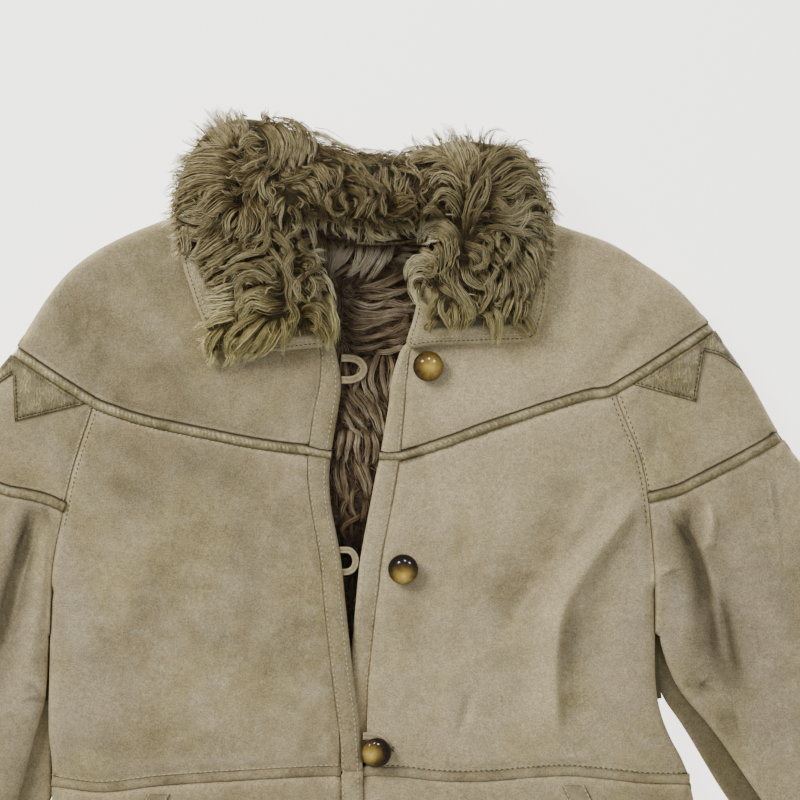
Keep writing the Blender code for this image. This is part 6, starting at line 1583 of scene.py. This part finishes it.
handRise = (-7.0, 1.0, 3.0, -0.5)
wavesOver = {}
for part, rows in (("right", locksRight), ("back", locksBack), ("left", locksLeft)):
    wavesOver[part] = [shortOfMargin(handGuide(row, furTop, 14, handRise)) for row in rows]
allGuides = [g for guides in wavesOver.values() for g in guides]
partShade = {"right": 0.0, "back": -0.08, "left": -0.01}
flow = flowField(allGuides)
for k, (part, guides) in enumerate(wavesOver.items()):
    dice = np.random.default_rng(furLooks["seed"] + k)
    locks = gatherLocks(guides, furLooks, furLooks["handSteps"],
                        lambda width: furLooks["handStrands"] * width / tableGrid["step"], partShade[part], dice, overCloth)
    brightenTips(locks)
    growStrands("collar_locks_" + part, locks, collarWool, furLooks)

dice = np.random.default_rng(furLooks["seed"] + 7)
roots = scatterRoots(collarEdge, furLooks["underGap"], dice)
roots = roots[[wearsFleece(x, y) for x, y in roots]]
under = underGuides(roots, flow, furTop, wearsFleece, furLooks, dice, (-8.5, 3.0, 0.0, 4.5, 5.0, 2.0), 1.0)
cover = np.vstack([g[2:-1, :2] for g, width, _ in allGuides if width > 5.0])


def isHidden(guide):
    # a lock that lies wholly under one of the listed locks isn't seen
    middle, end = guide[len(guide) // 2, :2], guide[-1, :2]
    return all(np.hypot(*(cover - spot).T).min() < furLooks["hide"] for spot in (middle, end))


under = [g for g in under if not isHidden(g[0])]
parts = {"right": [g for g in under if g[0][0, 0] < -55.0], "back": [g for g in under if -55.0 <= g[0][0, 0] < 75.0],
         "left": [g for g in under if g[0][0, 0] >= 75.0]}
for part, guides in parts.items():
    # the underwool is drawn darker, as painted shade in the deep gaps between the locks
    locks = gatherLocks(guides, furLooks, furLooks["underSteps"], lambda width: furLooks["underStrands"],
                        partShade[part] - 0.10, dice, overCloth)
    brightenTips(locks)
    growStrands("collar_underwool_" + part, locks, collarWool, furLooks)
print("collar fleece grown:", len(under), "locks under", len(allGuides))


def wispGuides(dice):
    # thin loose curls that lie across the locks
    roots = scatterRoots(collarEdge, wispLooks["gap"], dice)
    roots = roots[[wearsFleece(x, y) for x, y in roots]]
    looks = dict(furLooks, underLength=wispLooks["length"])
    guides = underGuides(roots, flow, furTop, wearsFleece, looks, dice, (wispLooks["lift"], 0.8, 0.0, 3.0, 4.0, 1.5), 1.3)
    return [(line, dice.uniform(*wispLooks["width"]), 0.1 + 0.5 * tone) for line, _, tone in guides]


def fringeGuides(dice):
    # tips that stand out past the collar's edge wherever the fleece covers it
    closed = np.vstack([collarEdge, collarEdge[:1]])
    length = np.linalg.norm(np.diff(closed, axis=0), axis=1).sum()
    rim = evenly(closed, int(length / fringeLooks["spacing"]))
    inward = normalsIn(rim[:-1])
    guides = []
    for (x, y), way in zip(rim[:-1] + dice.normal(0.0, 1.2, (len(rim) - 1, 2)), inward):
        reach, bend = dice.uniform(*fringeLooks["length"]), dice.normal(0.0, 0.35)
        width, tone = dice.uniform(*fringeLooks["width"]), dice.normal(0.1, 0.3)
        root = np.array([x, y]) + way * fringeLooks["inside"]
        if bareMargin(x, y) > 0.0:
            continue
        heading = fringeLooks["lean"] * flow(*root) - way
        heading /= max(np.linalg.norm(heading), 1e-6)
        t = np.linspace(0.0, 1.0, 7)[:, None]
        line = root + reach * t * heading + reach * bend * np.sin(math.pi * t) * 0.5 * np.array([-heading[1], heading[0]])
        z = furTop(line[:, 0], line[:, 1]) + np.array([-1.0, 1.5, 2.5, 2.0, 0.0, -2.5, -5.0])
        guides.append((np.column_stack([line, np.maximum(z, 2.0)]), width, tone))
    return guides


dice = np.random.default_rng(furLooks["seed"] + 19)
wisps, fringe = wispGuides(dice), fringeGuides(dice)
locks = gatherLocks(wisps, furLooks, wispLooks["steps"], lambda width: wispLooks["strands"], -0.02, dice, overCloth)
growStrands("collar_wisps", locks, collarWool, furLooks)
locks = gatherLocks(fringe, furLooks, wispLooks["steps"], lambda width: fringeLooks["strands"], 0.16, dice, overCloth)
brightenTips(locks)
growStrands("collar_fringe", locks, collarWool, furLooks)
print("loose curls:", len(wisps), "tips at the edge:", len(fringe))


# the fleece inside the coat, seen in the neck and between the bands
locksLining = (
    (6, .6, 346, 238, 340, 251, 334, 265, 330, 279), (7, .8, 353, 238, 351, 249, 344, 260, 335, 269), (5, .5, 355, 262, 343, 270, 331, 278),
    (6, .8, 361, 240, 360, 255, 357, 264, 349, 273), (7, .7, 368, 242, 366, 256, 358, 268, 345, 277), (6, .7, 375, 242, 370, 258, 364, 268, 361, 277),
    (7, 1., 382, 241, 378, 252, 372, 262, 365, 273), (7, .9, 390, 241, 386, 254, 380, 266, 373, 277), (5, .7, 395, 240, 392, 250, 388, 262),
    (6, .6, 384, 246, 381, 258, 374, 270, 368, 280), (6, .5, 348, 246, 343, 258, 338, 268), (11, .1, 318, 227, 322, 245, 326, 263),
    (9, 0., 312, 226, 318, 240, 322, 256), (9, .0, 326, 235, 334, 250, 340, 263), (8, -.3, 330, 240, 332, 256, 330, 272),
    (8, -.2, 324, 256, 330, 270, 336, 284), (5, .3, 405, 264, 400, 272, 390, 278, 375, 284, 361, 286), (5, .1, 399, 249, 408, 248, 418, 249),
    (5, .0, 397, 256, 406, 255, 416, 256), (6, -.1, 391, 262, 400, 258, 407, 262, 404, 271), (6, -.2, 404, 240, 414, 242, 424, 242),
    (5, .2, 410, 270, 400, 278, 388, 284, 376, 288), (6, .3, 358, 290, 372, 288, 384, 290, 398, 291, 410, 288), (6, .3, 360, 295, 375, 297, 388, 295, 404, 291),
    (6, .3, 348, 298, 362, 304, 374, 306, 386, 300), (6, .1, 378, 306, 392, 303, 402, 306, 414, 303), (6, .2, 345, 300, 355, 310, 368, 312, 380, 314, 392, 310, 404, 309, 416, 310),
    (6, .2, 342, 305, 352, 316, 364, 318, 378, 317, 392, 314, 406, 315), (6, .1, 342, 315, 354, 322, 368, 321, 382, 320, 397, 318), (6, .1, 344, 325, 358, 329, 370, 326, 384, 322),
    (6, .2, 378, 328, 392, 332, 400, 328, 412, 325), (6, .1, 382, 335, 396, 335, 406, 331, 418, 328), (6, .1, 383, 342, 396, 341, 408, 337), (6, -.1, 350, 334, 362, 338, 376, 336, 390, 332),
    (6, -.1, 346, 342, 356, 348, 370, 348, 384, 344), (6, .1, 372, 350, 386, 352, 398, 348, 410, 345), (6, .5, 380, 350, 374, 364, 370, 378, 374, 390, 378, 400),
    (5, .4, 384, 354, 382, 370, 384, 384, 387, 398), (5, .5, 376, 356, 366, 368, 364, 380, 366, 394), (6, .2, 372, 354, 362, 364, 358, 378, 354, 392),
    (5, .3, 388, 350, 392, 362, 392, 376, 388, 390), (5, .4, 362, 384, 368, 392, 374, 402), (6, -.1, 346, 384, 352, 396, 362, 406, 368, 418), (6, 0., 342, 392, 348, 406, 356, 418, 366, 428),
    (6, -.1, 340, 404, 346, 416, 352, 428, 362, 436), (6, .1, 352, 384, 360, 394, 368, 404, 376, 414), (6, .2, 364, 400, 370, 410, 376, 420, 380, 432), (6, .1, 372, 396, 378, 408, 382, 420, 384, 432),
    (7, .8, 343, 428, 342, 438, 340, 448, 338, 458), (6, .9, 349, 428, 350, 438, 348, 448, 346, 460), (7, .8, 357, 430, 358, 440, 357, 450, 360, 462), (6, .7, 365, 430, 368, 442, 368, 452, 366, 464),
    (6, .7, 372, 430, 376, 442, 376, 452, 374, 462), (6, .4, 352, 458, 358, 470, 363, 482, 366, 494), (6, .4, 345, 452, 342, 468, 345, 482, 346, 494, 350, 510), (6, .3, 360, 456, 366, 470, 370, 482, 370, 494),
    (6, .2, 338, 456, 336, 470, 338, 484, 342, 498), (6, .3, 356, 484, 352, 496, 352, 508, 356, 518), (6, .4, 366, 512, 353, 520, 342, 529, 346, 538), (6, .3, 357, 498, 345, 504, 342, 516),
    (6, 0., 364, 496, 366, 508, 362, 520), (6, -.2, 340, 500, 344, 512, 350, 524, 352, 538), (6, -.3, 352, 534, 348, 546, 352, 558), (6, -.5, 358, 540, 354, 560, 352, 580), (5, -.6, 350, 566, 352, 586, 350, 606),
    (7, -.6, 334, 284, 338, 300, 336, 318, 338, 336), (7, -.5, 338, 334, 340, 350, 338, 366, 340, 382), (6, -.3, 344, 350, 346, 364, 348, 378, 352, 390), (6, -.4, 412, 250, 418, 262, 412, 276),
    (6, -.5, 352, 610, 354, 626, 352, 642), (7, -.4, 410, 312, 404, 324, 400, 336),
)
neckOpening = ((301, 222), (437, 222), (432, 256), (420, 290), (410, 326), (402, 362), (390, 404), (381, 446), (372, 500), (363, 556),
               (357, 606), (356, 650), (350, 650), (345, 600), (337, 545), (331, 490), (326, 450), (329, 400), (333, 350), (332, 310),
               (324, 268), (308, 244))
neckSeam = {"x": (300, 440), "low": 244.0, "high": 214.0, "dip": 3.0, "bottom": 11.3, "top": 14.0, "cord": 241.0}


# where the waves of the inner fleece catch the light, or lie deep in the coat: table row, reach, how much lighter
sheenRows = ((256, 12, .30), (303, 14, .16), (350, 8, .10), (384, 9, .05), (430, 11, .20), (452, 7, -.10), (466, 5, .05),
             (500, 9, -.08))


def shadeLining(locks, shine=1.0):
    columns, rows = locks["points"][:, :, 0], tableGrid["y0"] - locks["points"][:, :, 1] / tableGrid["step"]
    rows = rows + 3.5 * np.sin(columns / 4.0)
    glow = sum(gain * np.exp(-((rows - row) / reach) ** 2) for row, reach, gain in sheenRows)
    locks["shade"] = locks["shade"] + shine * glow - 0.5 * easeIn((rows - 490.0) / 60.0)


def liningTop(x, y):
    return 14.0 + 0.0 * x


def buildNeckSeam():
    # a facing that joins the collar to the back yoke inside the neck
    columns = np.linspace(*neckSeam["x"], 40)
    sag = neckSeam["dip"] * np.sin(np.linspace(0.0, math.pi, 40))
    low = np.column_stack(onCoat(columns, neckSeam["low"] + sag))
    high = np.column_stack(onCoat(columns, neckSeam["high"] + sag))
    outline = np.vstack([low, high[::-1]])
    extra = fillPoints(outline, 4.0, (1.0,))
    flat = np.vstack([outline, extra])
    top = neckSeam["top"] + 0.5 * softNoise(flat[:, 0], flat[:, 1], 9.0, 131)
    piece = closedPanel("neck_facing", outline, extra, top, lambda x, y: neckSeam["bottom"] + 0.0 * x, suedeFleece, 0.1)
    setValues(piece, "toneAndShade", np.zeros(len(piece.data.vertices)))
    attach(piece, "root")


buildNeckSeam()
opening = np.column_stack(onCoat(*np.array(neckOpening, float).T))
liningRise = (-3.0, 1.5, 3.0, 0.5)
liningGuides = [handGuide(row, liningTop, 12, liningRise) for row in locksLining]
dice = np.random.default_rng(liningLooks["seed"])
locks = gatherLocks(liningGuides, liningLooks, 8, lambda width: liningLooks["handStrands"] * width / tableGrid["step"], 0.0,
                    dice, lambda x, y: 11.5 + 0.0 * x)
shadeLining(locks)
growStrands("lining_locks", locks, liningWool, liningLooks)
under = underGuides(scatterRoots(opening, liningLooks["underGap"], dice), flowField(liningGuides), liningTop,
                    lambda x, y: insideLoop(np.array([(x, y)]), opening)[0], liningLooks, dice, (-2.5, 1.2, 0.0, 2.0, 2.5, 1.0), 0.6)
# the underwool is drawn darker, as painted shade in the deep gaps between the locks
locks = gatherLocks(under, liningLooks, 5, lambda width: 7, -0.12, dice, lambda x, y: 11.5 + 0.0 * x)
shadeLining(locks, 0.25)
growStrands("lining_underwool", locks, liningWool, liningLooks)
print("lining fleece grown:", len(under), "locks under", len(liningGuides))


# tapes, stitches and threads
tapeLooks = {"width": 8.0, "low": 11.03, "high": 11.27}


def layTape(name, path):
    # a strip like a stay tape under a seam, between the two layers, coloured dark as painted shade in the gap
    side = np.gradient(path, axis=0)
    side = np.column_stack([-side[:, 1], side[:, 0]]) / np.maximum(np.linalg.norm(side, axis=1), 1e-9)[:, None]
    rings = [np.column_stack([path + side * across * tapeLooks["width"] / 2.0, np.full(len(path), tapeLooks[level])])
             for across, level in ((-1, "low"), (1, "low"), (1, "high"), (-1, "high"))]
    points = np.stack(rings, 1)
    rows = len(path)
    faces = [(4 * i + k, 4 * i + (k + 1) % 4, 4 * i + 4 + (k + 1) % 4, 4 * i + 4 + k) for i in range(rows - 1) for k in range(4)]
    faces += [(3, 2, 1, 0), tuple(4 * (rows - 1) + k for k in range(4))]
    piece = makeObject(name, points.reshape(-1, 3), faces, suedeStrip, False)
    recalcNormals(piece)
    # dark all over: painted shade
    setValues(piece, "toneAndShade", np.full(len(piece.data.vertices), -0.9))
    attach(piece, "root")


def partOf(line, first, last):
    along = np.concatenate([[0.0], np.cumsum(np.linalg.norm(np.diff(line, axis=0), axis=1))])
    marks = np.linspace(first * along[-1], last * along[-1], max(3, int((last - first) * along[-1] / 2.5)))
    return np.column_stack([np.interp(marks, along, line[:, k]) for k in range(2)])


layTape("armhole_tape_R", partOf(panels["front_R"]["runs"][0], 0.0, 0.80))
layTape("armhole_tape_L", partOf(panels["front_L"]["runs"][2], 0.205, 1.0))
# this one covers the hole beside the lowest button, as painted shade
layTape("waist_tape", partOf(np.column_stack(onCoat((355.0, 376.0), (768.0, 767.0))), 0.0, 1.0))

stitchLooks = {"length": 2.9, "width": 1.15, "height": 0.7, "lift": 0.12}
# a sewn edge: piece, which stretch of its outline, distance in from it, spacing, thread, and the share that is sewn
seamRows = (
    ("front_band_R", 0, 1.5, 4.3, "pale", 0.0, 1.0), ("front_band_R", 2, 4.2, 4.3, "pale", 0.0, 1.0),
    ("front_band_L", 1, 1.5, 4.3, "pale", 0.0, 0.98), ("front_band_L", 3, 4.4, 4.6, "pale", 0.0, 1.0),
    ("skirt_band_R", 0, 1.5, 4.3, "pale", 0.0, 1.0), ("skirt_band_R", 2, 4.2, 4.3, "pale", 0.0, 1.0),
    ("front_R", 0, 3.6, 4.0, "dark", 0.0, 0.32),
    ("front_L", 2, 3.8, 4.6, "dark", 0.66, 0.99), ("sleeve_upper_front_R", 0, 0.9, 3.8, "pale", 0.0, 1.0),
    ("sleeve_upper_front_L", 1, 0.9, 4.6, "dark", 0.0, 1.0), ("front_L", 1, 1.1, 4.4, "dark", 0.0, 1.0),
    ("front_R", 1, 1.1, 4.4, "pale", 0.0, 1.0), ("triangle_trim_R", 2, 2.4, 3.4, "deep", 0.0, 1.0),
    ("triangle_trim_R", 3, 2.4, 3.4, "deep", 0.05, 0.96), ("triangle_trim_R", 4, 2.4, 3.4, "deep", 0.03, 0.9),
    ("triangle_trim_L", 2, 2.4, 3.4, "deep", 0.08, 0.97), ("triangle_trim_L", 3, 2.4, 3.4, "deep", 0.05, 0.96),
    ("triangle_trim_L", 4, 2.4, 3.4, "deep", 0.0, 1.0), ("pocket_welt_R", 1, 1.4, 4.2, "pale", 0.0, 1.0),
    ("pocket_welt_R", 3, 1.4, 4.2, "pale", 0.0, 1.0), ("pocket_welt_L", 1, 1.4, 4.2, "pale", 0.0, 1.0),
    ("pocket_welt_L", 3, 1.4, 4.2, "pale", 0.0, 1.0), ("front_R", 3, 1.3, 4.0, "pale", 0.0, 1.0),
    ("front_L", 3, 1.3, 4.0, "pale", 0.0, 1.0),
)


def stitchTree(name, material):
    # one small bead for each stitch, turned along the seam
    tree = bpy.data.node_groups.new(name, "GeometryNodeTree")
    tree.interface.new_socket("Geometry", in_out="INPUT", socket_type="NodeSocketGeometry")
    sizes = [tree.interface.new_socket(label, in_out="INPUT", socket_type=kind) for label, kind in
             (("Spacing", "NodeSocketFloat"), ("Stitch size", "NodeSocketVector"))]
    tree.interface.new_socket("Geometry", in_out="OUTPUT", socket_type="NodeSocketGeometry")
    start = addNode(tree, "NodeGroupInput")
    curve = addNode(tree, "GeometryNodeMeshToCurve", links={"Mesh": start.outputs[0]})
    even = addNode(tree, "GeometryNodeResampleCurve", {"mode": "LENGTH"},
                   {"Curve": curve.outputs[0], "Length": start.outputs["Spacing"]})
    tangent = addNode(tree, "GeometryNodeInputTangent")
    turn = addNode(tree, "FunctionNodeAlignRotationToVector", {"axis": "X"}, {"Vector": tangent.outputs[0]})
    bead = addNode(tree, "GeometryNodeMeshIcoSphere", {"Radius": 0.5, "Subdivisions": 1})
    round_ = addNode(tree, "GeometryNodeSetShadeSmooth", links={"Geometry": bead.outputs[0]})
    place = addNode(tree, "GeometryNodeInstanceOnPoints", links={
        "Points": even.outputs[0], "Instance": round_.outputs[0], "Rotation": turn.outputs[0],
        "Scale": start.outputs["Stitch size"]})
    plain = addNode(tree, "GeometryNodeRealizeInstances", links={"Geometry": place.outputs[0]})
    coated = addNode(tree, "GeometryNodeSetMaterial", {"Material": material}, {"Geometry": plain.outputs[0]})
    addNode(tree, "NodeGroupOutput", links={0: coated.outputs[0]})
    return tree, [socket.identifier for socket in sizes]


def sewLines(name, lines, spacing, thread):
    points, edges = [], []
    for line in lines:
        edges += [(len(points) + k, len(points) + k + 1) for k in range(len(line) - 1)]
        points += (line * mm).tolist()
    mesh = bpy.data.meshes.new(name + "_path")
    mesh.from_pydata(points, edges, [])
    obj = bpy.data.objects.new(name + "_path", mesh)
    bpy.context.scene.collection.objects.link(obj)
    tree, (spacingInput, sizeInput) = stitchTree(name + "_beads", thread)
    size = (stitchLooks["length"] * mm, stitchLooks["width"] * mm, stitchLooks["height"] * mm)
    piece = bakeNodes(name, obj, tree, {spacingInput: spacing * mm, sizeInput: size}, thread)
    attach(piece, "root")


threads = {"dark": darkThread, "pale": paleThread, "deep": deepThread}
for number, (owner, stretch, inset, spacing, thread, first, last) in enumerate(seamRows):
    line = partOf(panels[owner]["runs"][stretch], first, last)
    line = smoothLine(line, 1.2)
    run = np.gradient(line, axis=0)
    run /= np.maximum(np.linalg.norm(run, axis=1), 1e-9)[:, None]
    line = line + np.column_stack([-run[:, 1], run[:, 0]]) * inset
    sewn = dropOnto(line, surfaceOf(panels[owner]["piece"]), stitchLooks["lift"])
    sewLines("stitches_%s_%d" % (owner, number), [sewn], spacing, threads[thread])

collarLine = inwards(panels["collar"]["outline"], 3.4)
sewn = dropOnto(collarLine, surfaceOf(panels["collar"]["piece"]), stitchLooks["lift"])
sewLines("stitches_collar_edge", [sewn], 3.8, darkThread)
collarLine = inwards(panels["collar"]["outline"], 7.0)
sewn = dropOnto(collarLine, surfaceOf(panels["collar"]["piece"]), stitchLooks["lift"])
sewLines("stitches_collar_inner", [sewn], 3.8, paleThread)
columns = np.linspace(358.0, 424.0, 30)
x, y = onCoat(columns, neckSeam["cord"] + 1.3 * np.sin((columns - 352.0) / 17.0) - 2.0 * easeIn((columns - 400.0) / 20.0))
z = 19.5 + 0.8 * np.sin(columns / 5.0)
piped = {"points": np.stack([np.column_stack([x, y, z]), np.column_stack([x, y - 0.9, z - 0.3])]), "thin": 0.62 + 0.0 * columns,
         "shade": 0.62 + 0.10 * np.sin(columns * 1.7), "tint": 0.2 + 0.0 * columns}
growStrands("neck_seam_roll", piped, liningWool, dict(liningLooks, sides=6))
print("seams stitched")


column = np.array([[387.0, 389.5, 392.5, 394.0], [388.0, 390.5, 392.5, 395.0], [388.0, 390.0, 391.0, 391.5], [387.0, 390.0, 393.0, 394.0]])
row = np.array([[750.0, 749.5, 750.5, 749.0], [751.0, 750.0, 748.0, 747.5], [750.0, 751.5, 752.5, 754.5], [751.0, 752.0, 751.0, 752.5]])
x, y = onCoat(column, row)
tuft = {"points": np.stack([x, y, 27.0 + 0.0 * x + np.array([0.4, 1.4, 1.2, 0.6])], 2), "thin": np.full((4, 4), 0.5),
        "shade": np.full((4, 4), 0.1), "tint": np.zeros((4, 4))}
growStrands("button_thread", tuft, blackThread, furLooks)


# floor, light and camera

stageLooks = {"floor": "#F7F6F3", "glow": 2.6, "centre": (0.0325, 0.199), "distance": 3.0, "lens": 157.0, "sky": 0.42}


def buildStage():
    floor = makeObject("floor", [(-4000, -4000, -0.6), (4000, -4000, -0.6), (4000, 4000, -0.6), (-4000, 4000, -0.6)],
                       [(0, 1, 2, 3)], None, False)
    paper, tree, surface = newMaterial("paleFloor", {"Roughness": 0.9})
    surface.inputs["Base Color"].default_value = srgb(stageLooks["floor"])
    surface.inputs["Emission Color"].default_value = srgb(stageLooks["floor"])
    surface.inputs["Emission Strength"].default_value = stageLooks["glow"]
    floor.data.materials.clear()
    floor.data.materials.append(paper)


def addLamp(name, place, target, size, power, colour, diffuse=True, glossy=True):
    light = bpy.data.lights.new(name, "AREA")
    light.shape, light.size, light.energy, light.color = "DISK", size, power, srgb(colour)[:3]
    lamp = bpy.data.objects.new(name, light)
    bpy.context.scene.collection.objects.link(lamp)
    lamp.location = place
    lamp.visible_diffuse, lamp.visible_glossy = diffuse, glossy
    lamp.rotation_euler = (Vector(target) - Vector(place)).to_track_quat("-Z", "Y").to_euler()


def buildCamera():
    lens = bpy.data.cameras.new("mainCamera")
    lens.sensor_width, lens.lens = 36.0, stageLooks["lens"]
    camera = bpy.data.objects.new("mainCamera", lens)
    x, y = stageLooks["centre"]
    camera.location = (x, y, stageLooks["distance"])
    bpy.context.scene.collection.objects.link(camera)
    bpy.context.scene.camera = camera


buildStage()
buildCamera()
addLamp("softKey", (-1.5, 1.5, 1.35), (0.0, 0.12, 0.0), 1.2, 62.0, "#FFFDF8", glossy=False)
addLamp("softFill", (1.6, -0.6, 2.0), (0.0, 0.1, 0.0), 1.6, 14.0, "#FBFCFF", glossy=False)
for number, place in enumerate(((-0.72, 0.98, 1.67), (0.2, 1.3, 1.67), (0.86, 0.92, 1.6))):
    addLamp("glint%d" % number, place, (0.04, 0.1, 0.0), 0.3, 9.0, "#FFFFFF", diffuse=False)   # seen only as a shine
world = bpy.data.worlds.new("paleStudio")
world.use_nodes = True
world.node_tree.nodes["Background"].inputs["Color"].default_value = srgb("#FFFFFF")
world.node_tree.nodes["Background"].inputs["Strength"].default_value = stageLooks["sky"]
bpy.context.scene.world = world
